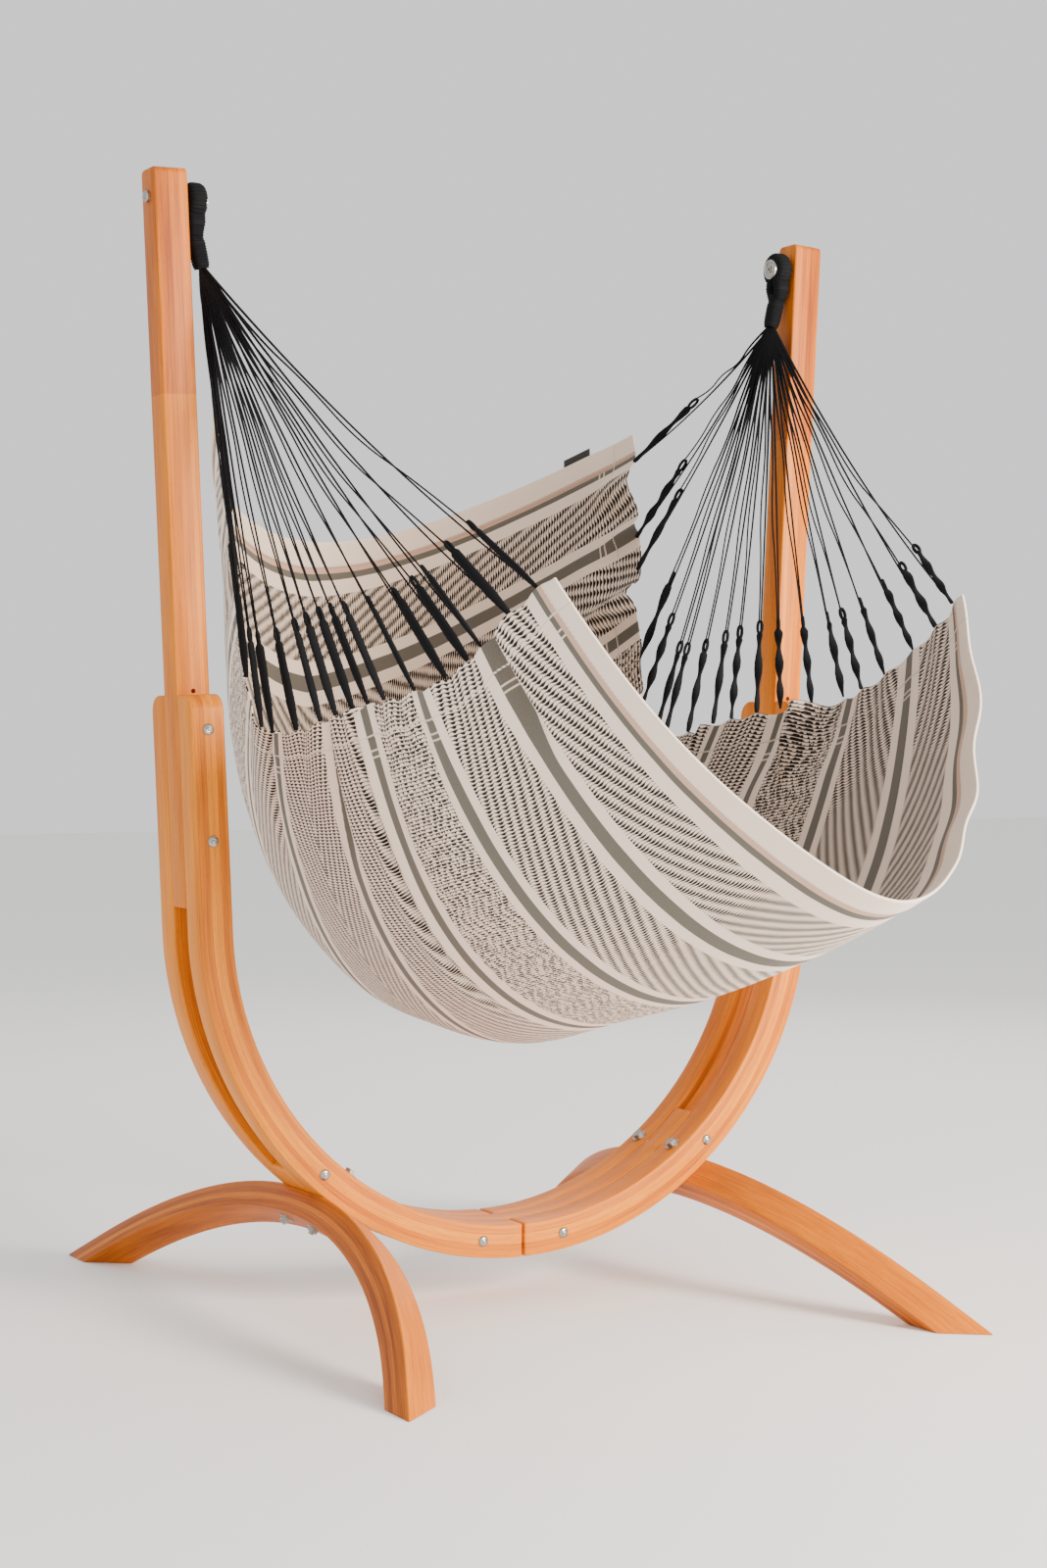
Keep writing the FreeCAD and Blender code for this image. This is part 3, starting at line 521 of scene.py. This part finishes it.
def leg():
    """An arch spun from its section, drawn straight on past the floor at both ends and cut off there."""
    bpy.ops.object.select_all(action="DESELECT")
    bpy.ops.mesh.primitive_plane_add(size=1, location=(0, 0, -LEG_D / 2), rotation=(math.pi / 2, 0, 0))
    o = named("leg_timber_right", WOOD)
    o.scale = (LEG_W, LEG_D, 1)
    settle(o)
    o.data.transform(Matrix.Translation((0, 0, -LEG_R)) @ Matrix.Rotation(LEG_BEND, 4, "X")
                     @ Matrix.Translation((0, 0, LEG_R)))
    bpy.ops.object.mode_set(mode="EDIT")
    bpy.ops.mesh.select_all(action="SELECT")
    bpy.ops.mesh.spin(steps=44, angle=2 * LEG_BEND, center=(0, 0, -LEG_R), axis=(1, 0, 0))
    bpy.ops.object.mode_set(mode="OBJECT")
    outward(o)
    bpy.ops.object.mode_set(mode="EDIT")
    for side in (-1, 1):
        end = Vector((0, side * math.cos(LEG_BEND), -math.sin(LEG_BEND)))
        select_faces(o, lambda c, n: n.dot(end) > 0.99 and abs(c.y) > 0.5)
        bpy.ops.mesh.extrude_region_move(TRANSFORM_OT_translate={"value": end * 0.35})
    bpy.ops.object.mode_set(mode="OBJECT")
    o.data.transform(LEG_FRAME)
    bpy.ops.object.mode_set(mode="EDIT")
    bpy.ops.mesh.select_all(action="SELECT")
    bpy.ops.mesh.bisect(plane_co=(0, 0, 0), plane_no=(0, 0, -1), use_fill=True, clear_outer=True)
    select_edges(o, lambda a, b: max(a.z, b.z) < 1e-4 and abs(a.y - b.y) < 0.003
                 and abs(a.x - b.x) > 0.02)
    bpy.ops.mesh.bevel(offset=0.013, segments=5)
    bpy.ops.mesh.select_all(action="SELECT")
    crown = LEG_FRAME @ Vector((0, 0, -LEG_FLAT))
    bpy.ops.mesh.bisect(plane_co=crown, plane_no=-LEG_DIR, use_fill=True, clear_outer=True)
    bpy.ops.object.mode_set(mode="OBJECT")
    outward(o)
    ease(o, 0.004)
    write_grain(o, leg_grain)
    return o


timber_post = post()
front_cheek = cheek("cheek_timber_front_right", -1)
rear_cheek = cheek("cheek_timber_rear_right", 1)
splice = bent_bar("splice_timber", -POST_Y, POST_Y, -math.pi / 4, math.pi / 2)
ease(splice)
write_grain(splice, bar_grain)
timber_leg = leg()
for piece, label in ((timber_post, "post"), (front_cheek, "cheek_front"), (rear_cheek, "cheek_rear"),
                     (timber_leg, "leg")):
    other = mirrored(piece, piece.name.replace("right", "left"))
    dress(piece, "stand", "oiled_wood", label + "_right")
    dress(other, "stand", "oiled_wood", label + "_left")
dress(splice, "stand", "oiled_wood", "centre_splice")

# ------------------------------------------------------------------ the hanging cloth
# Stations from the front hem to the back hem: half width, reach and drop of the side
# edge, reach and drop of the middle, as parts of the sizes above.
STATIONS = np.array([
    (0.00, 0.93, -0.710, 0.455, -1.000, 0.776),
    (0.09, 0.98, -0.621, 0.500, -0.790, 0.848),
    (0.20, 0.99, -0.497, 0.551, -0.537, 0.918),
    (0.31, 1.02, -0.364, 0.575, -0.297, 0.962),
    (0.42, 0.99, -0.222, 0.586, -0.080, 0.999),
    (0.52, 0.97, -0.098, 0.600, 0.196, 1.000),
    (0.62, 0.98, 0.026, 0.615, 0.529, 0.972),
    (0.72, 1.00, 0.196, 0.604, 0.837, 0.875),
    (0.82, 1.02, 0.261, 0.500, 1.046, 0.715),
    (0.91, 1.04, 0.294, 0.354, 1.046, 0.528),
    (1.00, 1.08, 0.346, 0.203, 1.000, 0.346),
])


def spline(column, x):
    """Cubic through the stations, with three-point slopes, at every x."""
    xs, ys = STATIONS[:, 0], column
    order = np.arange(len(xs))
    above, below = np.minimum(order + 1, len(xs) - 1), np.maximum(order - 1, 0)
    slopes = (ys[above] - ys[below]) / (xs[above] - xs[below])
    i = np.clip(np.searchsorted(xs, x, side="left") - 1, 0, len(xs) - 2)
    h = xs[i + 1] - xs[i]
    t = (x - xs[i]) / h
    return ((2 * t ** 3 - 3 * t ** 2 + 1) * ys[i] + (t ** 3 - 2 * t ** 2 + t) * h * slopes[i]
            + (3 * t ** 2 - 2 * t ** 3) * ys[i + 1] + (t ** 3 - t ** 2) * h * slopes[i + 1])


def reach(part):
    return np.where(part < 0, part * CLOTH_FRONT, part * CLOTH_BACK)


EDGE_X = STATIONS[:, 1] * CLOTH_HALF
EDGE_Y = reach(STATIONS[:, 2])
EDGE_Z = HANG_Z - STATIONS[:, 3] * CLOTH_DROP
MID_Y = reach(STATIONS[:, 4])
MID_Z = HANG_Z - STATIONS[:, 5] * CLOTH_DROP


def smooth_surface(u, v):
    """The evenly hanging sheet: u from side edge to side edge, v from front to back."""
    h = np.abs(u) ** 1.9
    y, z = spline(MID_Y, v), spline(MID_Z, v)
    return np.stack([spline(EDGE_X, v) * u * (1 + 0.1 * (1 - u * u)),
                     y + (spline(EDGE_Y, v) - y) * h,
                     z + (spline(EDGE_Z, v) - z) * h], axis=-1)


def woven_place(u, v):
    """Where the thread pattern lies: the stripes bow towards the front at the gathered edges."""
    return v - 0.1 * np.sin(math.pi * np.clip(v, 0, 1)) ** 1.2 * np.abs(u) ** 1.1


def between_cords(v):
    """0 at each cord, 1 halfway between two, and the gap's own number."""
    place = (v - CORDS_FROM) / CORDS_OVER * (CORD_COUNT - 0.5) - 0.25
    return np.sin(math.pi * place) ** 2, place


def bell(x, middle, spread):
    return np.exp(-((x - middle) / spread) ** 2)


# Creases along the stripes: side, woven place, depth, spread, and how far in it runs.
CREASES = [
    (-1, 0.341, 0.036, 0.0036, 0.80),
    (-1, 0.094, 0.024, 0.007, 0.24),
    (-1, 0.425, 0.022, 0.007, 0.30),
    (-1, 0.60, 0.018, 0.008, 0.35),
    (-1, 0.845, 0.020, 0.008, 0.22),
    (1, 0.265, 0.042, 0.010, 0.16),
    (1, 0.46, 0.014, 0.008, 0.25),
    (1, 0.70, 0.020, 0.009, 0.20),
    (1, 0.835, 0.038, 0.010, 0.16),
    (1, 0.905, 0.016, 0.008, 0.10),
    (1, 0.950, 0.026, 0.016, 0.12),
]


def lift(u, v):
    """How far the real cloth stands off the even sheet, along its normal."""
    gap, place = between_cords(v)
    near_edge = np.clip((np.abs(u) - 0.55) / 0.45, 0, 1)
    uneven = 0.75 + 0.5 * np.sin(np.floor(place) * 2.3 + np.sign(u))
    off = 0.0045 * gap * uneven * near_edge ** 1.6 * np.sin(np.floor(place) * 1.9 + 0.7)
    off = off + 0.0022 * np.sin(2 * math.pi * place) * near_edge ** 2.2
    # Each crease is a groove with a low rise on both sides of it.
    w = woven_place(u, v)
    for side, at, depth, spread, inward in CREASES:
        fade = np.clip(1.5 * (u * side - (1 - inward)) / inward, 0, 1)
        fade = fade * fade * (3 - 2 * fade)
        off = off - depth * fade * (bell(w, at, spread)
                                    - 0.30 * bell(w, at + 4.0 * spread, 2.8 * spread)
                                    - 0.30 * bell(w, at - 4.0 * spread, 2.8 * spread))
    # Broad swells in the middle, and waves in the hems.
    calm = np.clip(1 - np.abs(u) ** 4, 0, 1)
    off = off + calm * (0.006 * np.sin(9.5 * v + 1.3) * np.sin(2.6 * u + 0.5)
                        + 0.003 * np.sin(21 * v + 4.0 * u))
    off = off + bell(v, 0, 0.05) * 0.006 * np.sin(7.5 * u + 1.0)
    off = off + bell(v, 1, 0.05) * 0.003 * np.sin(7.5 * u + 1.0)
    waved = np.clip((u - 0.25) / 0.3, 0, 1) * np.clip((1 - u) / 0.15, 0, 1)
    off = off + bell(v, 0, 0.035) * 0.0065 * waved * np.sin(26 * u)
    return off


def cloth_points(u, v, raised=0.0):
    """The cloth's own points: the edge is pulled in a little between the cords."""
    gap, _ = between_cords(v)
    near_edge = np.clip((np.abs(u) - 0.8) / 0.2, 0, 1)
    pulled = u * (1 - 0.006 * gap * near_edge ** 2)
    e = 0.003
    du = (smooth_surface(np.clip(pulled + e, -1, 1), v)
          - smooth_surface(np.clip(pulled - e, -1, 1), v))
    dv = (smooth_surface(pulled, np.clip(v + e, 0, 1))
          - smooth_surface(pulled, np.clip(v - e, 0, 1)))
    n = np.cross(dv, du)
    n /= np.linalg.norm(n, axis=-1, keepdims=True)
    return smooth_surface(pulled, v) + n * (lift(pulled, v) + raised)[..., None]


def mark_inside_shade(o, single, u, v):
    """Marks the points on the side of the shell that faces the sitter, for the painted shade there. Each
    layer has single points.
    """
    middle = cloth_points(u, v)
    outwards = cloth_points(u, v, 0.01) - middle
    place = np.zeros(len(o.data.vertices) * 3)
    o.data.vertices.foreach_get("co", place)
    place = place.reshape(-1, 3)
    level = np.zeros(len(place), dtype=np.float32)
    for start in (0, single):
        layer = slice(start, start + single)
        level[layer] = np.sum((place[layer] - middle) * outwards, axis=-1) < 0
    o.data.attributes.new("inside_shade", "FLOAT", "POINT").data.foreach_set("value", level)


def cloth_piece(name, u0, u1, v0, v1, across, along, thick):
    """A stretch of the sheet: a flat grid, moved to where it hangs, and given its thickness."""
    bpy.ops.object.select_all(action="DESELECT")
    bpy.ops.mesh.primitive_grid_add(x_subdivisions=across, y_subdivisions=along, size=2)
    o = named(name, COTTON)
    flat = np.zeros(len(o.data.vertices) * 3)
    o.data.vertices.foreach_get("co", flat)
    flat = flat.reshape(-1, 3)
    u = u0 + (u1 - u0) * (flat[:, 0] + 1) / 2
    # Rows lie closer together where the deepest crease crosses the cloth.
    even = np.linspace(0, 1, 2001)
    density = np.cumsum(1 + 3.5 * bell(v0 + (v1 - v0) * even, 0.395, 0.050))
    share = (density - density[0]) / (density[-1] - density[0])
    v = v0 + (v1 - v0) * np.interp((flat[:, 1] + 1) / 2, share, even)
    o.data.vertices.foreach_set("co", cloth_points(u, v).ravel())
    while o.data.uv_layers:
        o.data.uv_layers.remove(o.data.uv_layers[0])
    layer = o.data.uv_layers.new(name="cloth")
    corner = np.zeros(len(o.data.loops), dtype=np.int32)
    o.data.loops.foreach_get("vertex_index", corner)
    woven = np.stack([u * CLOTH_WIDE / 2, woven_place(u, v) * CLOTH_LONG], axis=-1)
    layer.data.foreach_set("uv", woven[corner].ravel())
    o.data.update()
    only(o)
    bpy.ops.object.mode_set(mode="EDIT")
    bpy.ops.mesh.select_all(action="SELECT")
    bpy.ops.mesh.normals_make_consistent(inside=False)
    bpy.ops.object.mode_set(mode="OBJECT")
    single = len(o.data.vertices)
    finish_modifier(o, "SOLIDIFY", thickness=thick, offset=0, use_even_offset=True)
    mark_inside_shade(o, single, u, v)
    return o


cloth = cloth_piece("hammock_cloth", -0.997, 0.997, 0.0015, 0.9985, 116, 400, 0.0014)
smooth(cloth, 60)
front_band = cloth_piece("front_hem_band", -1, 1, 0, HEM, 116, 6, 0.0042)
back_band = cloth_piece("back_hem_band", -1, 1, 1 - HEM, 1, 116, 6, 0.0042)
right_band = cloth_piece("side_hem_right_band", SIDE, 1, HEM, 1 - HEM, 6, 400, 0.0030)
left_band = cloth_piece("side_hem_left_band", -1, -SIDE, HEM, 1 - HEM, 6, 400, 0.0030)
for band in (front_band, back_band, right_band, left_band):
    finish_modifier(band, "BEVEL", width=0.0011, segments=2, limit_method="ANGLE",
                    angle_limit=math.radians(60))
    smooth(band, 60)
dress(cloth, "chair", "striped_cloth", "cloth_panel")
dress(front_band, "chair", "hem_cloth", "front_hem")
dress(back_band, "chair", "hem_cloth", "back_hem")
dress(right_band, "chair", "hem_cloth", "side_hem_right")
dress(left_band, "chair", "hem_cloth", "side_hem_left")

# ------------------------------------------------------------------ cords and braided ends
random.seed(7)


def rod_mesh(points, radii, sides, across):
    """Vertices and faces of a closed tube along points; across is where its sections start."""
    verts, faces = [], []
    for i, p in enumerate(points):
        ahead = (points[min(i + 1, len(points) - 1)] - points[max(i - 1, 0)]).normalized()
        a = (across - ahead * across.dot(ahead)).normalized()
        b = ahead.cross(a)
        for k in range(sides):
            q = 2 * math.pi * k / sides
            verts.append(p + a * (math.cos(q) * radii[i]) + b * (math.sin(q) * radii[i]))
    for i in range(len(points) - 1):
        for k in range(sides):
            m = (k + 1) % sides
            faces.append((i * sides + k, i * sides + m, (i + 1) * sides + m, (i + 1) * sides + k))
    faces.append(tuple(reversed(range(sides))))
    faces.append(tuple(range((len(points) - 1) * sides, len(points) * sides)))
    return verts, faces


def add_to(mesh_data, verts, faces):
    base = len(mesh_data[0])
    mesh_data[0].extend(verts)
    mesh_data[1].extend(tuple(base + i for i in f) for f in faces)


def object_from(name, mesh_data, material):
    mesh = bpy.data.meshes.new(name)
    mesh.from_pydata([tuple(v) for v in mesh_data[0]], [], mesh_data[1])
    mesh.materials.append(material)
    o = bpy.data.objects.new(name, mesh)
    bpy.context.scene.collection.objects.link(o)
    outward(o)
    smooth(o, 60)
    return o


def braided_end(name, low, way, across, half_turns, wide, deep, slit):
    """A laid end, wide by deep in section, with slanting strands; slit is its eye's half width."""
    data = ([], [])
    long = END_LONG - 0.022
    steps, sides, strands, pitch = 64, 24, 7, 0.030
    points = [low + way * (long * i / steps) for i in range(steps + 1)]
    verts, faces = rod_mesh(points, [1.0] * (steps + 1), sides, across)
    u = (across - way * across.dot(way)).normalized()
    for i in range(steps + 1):
        f = i / steps
        swell = (0.50 + 0.50 * min(1.0, f / 0.3) ** 0.8) * min(1.0, 0.55 + (1 - f) / 0.10)
        lay = 2 * math.pi * f * long / pitch
        spin = half_turns * math.pi * f
        for k in range(sides):
            q = 2 * math.pi * k / sides
            size = 1 + 0.09 * abs(math.sin(strands * q / 2 + lay * 1.5)) - 0.05
            a, b = math.cos(q) * wide * swell * size, math.sin(q) * deep * swell * size
            x = a * math.cos(spin) - b * math.sin(spin)
            y = a * math.sin(spin) + b * math.cos(spin)
            verts[i * sides + k] = points[i] + u * x + way.cross(u) * y
    add_to(data, verts, faces)
    eye = low + way * (long + 0.009)
    for half in (-1, 1):
        points = []
        for i in range(9):
            q = math.pi * i / 8
            points.append(eye - way * (math.cos(q) * 0.0125) + across * (half * math.sin(q) * slit))
        add_to(data, *rod_mesh(points, [0.0030] * 9, 6, way.cross(across)))
    return object_from(name, data, ROPE)


def thin_cord(name, places, radii):
    """One taut run through its chosen points, with the slight bow that its weight and twist give it."""
    curve = bpy.data.curves.new(name, "CURVE")
    curve.dimensions = "3D"
    run = curve.splines.new("NURBS")
    run.points.add(len(places) - 1)
    for point, place, radius in zip(run.points, places, radii):
        point.co = (*place, 1)
        point.radius = radius
    run.order_u = 3
    run.use_endpoint_u = True
    run.resolution_u = 10
    curve.bevel_depth = CORD_D / 2
    curve.bevel_resolution = 2
    curve.use_fill_caps = True
    curve.materials.append(ROPE)
    o = bpy.data.objects.new(name, curve)
    bpy.context.scene.collection.objects.link(o)
    return o


for side, word in ((1, "right"), (-1, "left")):
    fan = Vector((FAN.x * side, FAN.y, FAN.z))
    for n in range(CORD_COUNT):
        drift = random.uniform(-0.33, 0.33) if 0 < n < CORD_COUNT - 1 else 0
        mark = CORDS_FROM + CORDS_OVER * (n + 0.25 + drift) / (CORD_COUNT - 0.5)
        foot = Vector(smooth_surface(np.array([float(side)]), np.array([mark]))[0])
        way = (fan - foot).normalized()
        low = foot + way * 0.0005
        eye = foot + way * (0.004 + END_LONG)
        across = way.cross(Vector((1, 0, 0))).normalized()
        aside = way.cross(across).normalized()
        facing = (across * random.uniform(-1, 1) + aside * random.uniform(-1, 1)).normalized()
        # The left ends lie flat and the right ones have twisted.
        half_turns = random.uniform(-0.25, 0.25) if side < 0 else random.uniform(1.8, 3.0)
        wide = random.uniform(0.0068, 0.0084) if side < 0 else random.uniform(0.0064, 0.0078)
        deep, slit = (0.0046, 0.0032) if side < 0 else (0.0036, 0.0042)
        braid = braided_end("braided_end_%s_%02d" % (word, n + 1), low, way, facing, half_turns,
                            wide, deep, slit)
        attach(braid, "chair")
        if n == 0:
            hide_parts("cord_ends_" + word)
        beside = Vector((0, (n - 9) * 0.0005, 0))
        starts = [fan + across * (k * 0.0024) + beside for k in (-1, 1)]
        # One run is spliced into the braided end and goes on to the cloth inside it. The
        # other crosses over it on the way, so that slits of light show between the two.
        level = Vector((fan.x - foot.x, fan.y - foot.y)).length
        droop = Vector((0, 0, -0.085 * level * random.uniform(0.75, 1.15)))
        halfway = (starts[0] + foot) / 2 + droop + aside * -0.004
        cord = thin_cord("cord_%s_%02d" % (word, n + 1), [starts[0], halfway, foot], (1.7, 1.0, 1.0))
        end = eye + way * -0.004 + across * 0.003
        places = [starts[1]]
        for i, f in enumerate((0.22, 0.42, 0.62, 0.82)):
            along = starts[1].lerp(end, f) + droop * (2 * f * (1 - f))
            places.append(along + across * ((-1) ** i * random.uniform(0.004, 0.007)) + aside * 0.003)
        partner = thin_cord("cord_%s_%02d_b" % (word, n + 1), places + [end],
                            (1.7, 1.4, 1.1, 1.0, 1.0, 1.0))
        for piece in (cord, partner):
            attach(piece, "chair")
        if n == 0:
            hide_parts("cords_" + word)


# ------------------------------------------------------------------ rope loops and wound necks
def whipped(data, path, wide, deep):
    """A rope core wound closely with cord: a tube along path, ribbed once per turn of the winding."""
    pitch, rib, sides = 0.0042, 0.0007, 24
    lengths = [0.0]
    for p, q in zip(path, path[1:]):
        lengths.append(lengths[-1] + (q - p).length)
    steps = int(lengths[-1] / pitch) * 4
    points, radii, girth, wide_at = [], [], [], []
    for i in range(steps + 1):
        d = lengths[-1] * i / steps
        k = next(k for k in range(1, len(lengths)) if d <= lengths[k] + 1e-9)
        f = (d - lengths[k - 1]) / (lengths[k] - lengths[k - 1])
        points.append(path[k - 1].lerp(path[k], f))
        girth.append(deep[k - 1] * (1 - f) + deep[k] * f)
        wide_at.append(wide[k - 1] * (1 - f) + wide[k] * f)
        radii.append(wide_at[-1] + rib * math.cos(2 * math.pi * i / 4))
    verts, faces = rod_mesh(points, radii, sides, Vector((1, 0, 0)))
    for i in range(steps + 1):
        for k in range(sides):
            v = verts[i * sides + k] - points[i]
            part = max(-1, min(1, v.x / radii[i]))
            x = Vector((math.copysign(abs(part) ** 0.62, part) * radii[i], 0, 0))
            rest = v - Vector((v.x, 0, 0))
            rest *= (girth[i] + radii[i] - wide_at[i]) / radii[i]
            verts[i * sides + k] = points[i] + x + rest
    add_to(data, verts, faces)


def rope_loop(side, word):
    """A wound rope bent over the pin, its two legs side by side below it."""
    data = ([], [])
    middle = Vector((LOOP_X * side, 0, HANG_Z))
    ring = 0.0195
    path, wide, deep = [], [], []
    for i in range(25):
        q = math.radians(-62 + 304 * i / 24)
        path.append(middle + Vector((0, math.cos(q) * ring, math.sin(q) * ring)))
        wide.append(0.0156)
        deep.append(0.0122)
    low = [Vector((0, 0.0128, -0.036)), Vector((0, 0.0085, -0.056))]
    path = [middle + low[1], middle + low[0]] + path + [
        middle + Vector((0, -low[0].y, low[0].z)), middle + Vector((0, -low[1].y, low[1].z))]
    wide = [0.0130, 0.0150] + wide + [0.0150, 0.0130]
    deep = [0.0090, 0.0108] + deep + [0.0108, 0.0090]
    whipped(data, path, wide, deep)
    return object_from("rope_loop_wound_" + word, data, ROPE)


def neck(side, word):
    """The binding round the neck, in two lobes with a pinch between them, above the spreading cords."""
    data = ([], [])
    top = Vector((LOOP_X * side, 0, HANG_Z - 0.050))
    foot = Vector((FAN.x * side, 0, FAN.z - 0.001))
    places = (0.0, 0.12, 0.2, 0.32, 0.7, 0.9, 1.0)
    girths = (0.0152, 0.0150, 0.0136, 0.0150, 0.0146, 0.0138, 0.0120)
    path = [top.lerp(foot, f) for f in places]
    whipped(data, path, list(girths), [g * 0.95 for g in girths])
    return object_from("neck_binding_" + word, data, ROPE)


for side, word in ((1, "right"), (-1, "left")):
    dress(rope_loop(side, word), "chair", "black_cord", "rope_loop_" + word)
    dress(neck(side, word), "chair", "black_cord", "neck_winding_" + word)

# ------------------------------------------------------------------ tag and hardware
def turned(name, profile, material):
    """A body of revolution about Y: the profile's (radius, height) run from the axis to the axis."""
    mesh = bpy.data.meshes.new(name)
    mesh.from_pydata([(r, -h, 0) for r, h in profile], [(i, i + 1) for i in range(len(profile) - 1)], [])
    o = bpy.data.objects.new(name, mesh)
    bpy.context.scene.collection.objects.link(o)
    mesh.materials.append(material)
    only(o)
    bpy.ops.object.mode_set(mode="EDIT")
    bpy.ops.mesh.select_all(action="SELECT")
    bpy.ops.mesh.spin(steps=32, angle=2 * math.pi, center=(0, 0, 0), axis=(0, 1, 0))
    bpy.ops.object.mode_set(mode="OBJECT")
    outward(o)
    smooth(o, 32)
    return o


# A round-headed through bolt: rimmed dome, groove and centre boss, and its shank.
BOLT = [(0, 0.0048), (0.0020, 0.0046), (0.0032, 0.0040), (0.0036, 0.0031), (0.0046, 0.0032),
        (0.0052, 0.0040), (0.0075, 0.0034), (0.0092, 0.0020), (0.0098, 0.0008), (0.0098, 0),
        (0.0040, 0), (0.0040, -2 * CHEEK_Y), (0, -2 * CHEEK_Y)]


def bolts(name, places, node_name):
    first = turned(name, BOLT, STEEL)
    copies = []
    for place in places:
        only(first)
        bpy.ops.object.duplicate()
        copy = bpy.context.object
        copy.data.transform(Matrix.Translation(Vector(place) + Vector((0, -CHEEK_Y, 0))))
        copies.append(copy)
    bpy.data.objects.remove(first)
    return dress(join(copies, name), "stand", "zinc_steel", node_name)


post_places, splice_places = [], []
for side in (-1, 1):
    for z in POST_BOLT_Z:
        at = ARM @ Vector((SECTION / 2, 0, up_arm(z)))
        post_places.append((at.x * side, 0, at.z))
    for angle in SPLICE_BOLT_AT:
        q = math.radians(angle)
        middle_r = BEND_R - SECTION / 2
        splice_places.append((math.sin(q) * middle_r * side, 0, ARC_Z - math.cos(q) * middle_r))
bolts("post_bolt_set", post_places, "post_bolts")
bolts("splice_bolt_set", splice_places, "splice_bolts")

# A retaining cap: a sunk centre, two raised rings and a rolled rim.
CAP = [(0, 0.0008), (0.0052, 0.0008), (0.0054, 0.0030), (0.0085, 0.0038), (0.0098, 0.0030),
       (0.0128, 0.0026), (0.0142, 0.0038), (0.0172, 0.0040), (0.0186, 0.0032), (0.0190, 0.0016),
       (0.0190, 0), (0, 0)]
for side, word in ((1, "right"), (-1, "left")):
    cap = turned("pin_cap_" + word, CAP, STEEL)
    cap.data.transform(Matrix.Translation((CAP_X * side, 0, HANG_Z))
                       @ Matrix.Rotation(-side * math.pi / 2, 4, "Z"))
    dress(cap, "stand", "zinc_steel", "retaining_cap_" + word)

# The woven tag stands out from the back hem: a folded ribbon, plain.
TAG_FROM, TAG_LONG, TAG_WIDE, TAG_STEPS = 0.827, 0.066, 0.0145, 8   # the first two as parts of u
tag_rows = []
for i in range(TAG_STEPS + 1):
    u = TAG_FROM + TAG_LONG * i / TAG_STEPS
    edge, inside = (Vector(cloth_points(np.array([u]), np.array([v]))[0]) for v in (1.0, 0.99))
    out = (edge - inside).normalized()
    tag_rows.append((edge - out * 0.001, edge + out * TAG_WIDE))
tag_mesh = ([p for row in tag_rows for p in row],
            [(2 * i, 2 * i + 1, 2 * i + 3, 2 * i + 2) for i in range(TAG_STEPS)])
tag = object_from("tag_ribbon", tag_mesh, RIBBON)
finish_modifier(tag, "SOLIDIFY", thickness=0.0016, offset=0)
dress(tag, "chair", "tag_cloth", "woven_tag")

# Hardware that isn't replaced keeps its CAD shape.
for name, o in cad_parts.items():
    if any(word in name for word in ("bolt", "nut", "washer", "pin")) and not o.hide_render:
        o.data.materials.clear()
        o.data.materials.append(STEEL)

# ------------------------------------------------------------------ floor, light, camera
bpy.ops.object.select_all(action="DESELECT")
bpy.ops.mesh.primitive_plane_add(size=40, location=(0, 0, -0.0005))
paper, tree, surface = new_material("pale_floor", Roughness=0.9, Specular_IOR_Level=0.1)
surface.inputs["Base Color"].default_value = linear("#F6F5F3")
floor = named("floor", paper)

world = bpy.data.worlds.new("studio")
world.use_nodes = True
world.node_tree.nodes["Background"].inputs[0].default_value = linear("#FFFFFF")
world.node_tree.nodes["Background"].inputs[1].default_value = 1.05
bpy.context.scene.world = world


def soft_light(name, place, aim, size, power, tint):
    lamp = bpy.data.lights.new(name, "AREA")
    lamp.size = size
    lamp.energy = power
    lamp.color = linear(tint)[:3]
    o = bpy.data.objects.new(name, lamp)
    o.location = place
    o.rotation_euler = (Vector(aim) - Vector(place)).to_track_quat("-Z", "Y").to_euler()
    bpy.context.scene.collection.objects.link(o)


soft_light("key", (2.2, -5.0, 2.1), (0, 0, 1.0), 1.8, 760, "#FFF4E8")
soft_light("fill", (-4.5, -2.0, 2.2), (0, 0, 1.0), 3.0, 30, "#FFFFFF")
soft_light("rim", (3.0, 3.0, 3.2), (0, 0, 1.1), 2.5, 60, "#FFFFFF")

lens = bpy.data.cameras.new("camera")
lens.sensor_width = 36
lens.lens = 59.445
camera = bpy.data.objects.new("camera", lens)
bpy.context.scene.collection.objects.link(camera)
camera.matrix_world = (Matrix.Translation((-2.3466, -4.0349, 1.0149))
                       @ Matrix.Rotation(math.radians(-30.65), 4, "Z")
                       @ Matrix.Rotation(math.radians(90 - 1.16), 4, "X")
                       @ Matrix.Rotation(0.0049, 4, "Z"))
bpy.context.scene.camera = camera
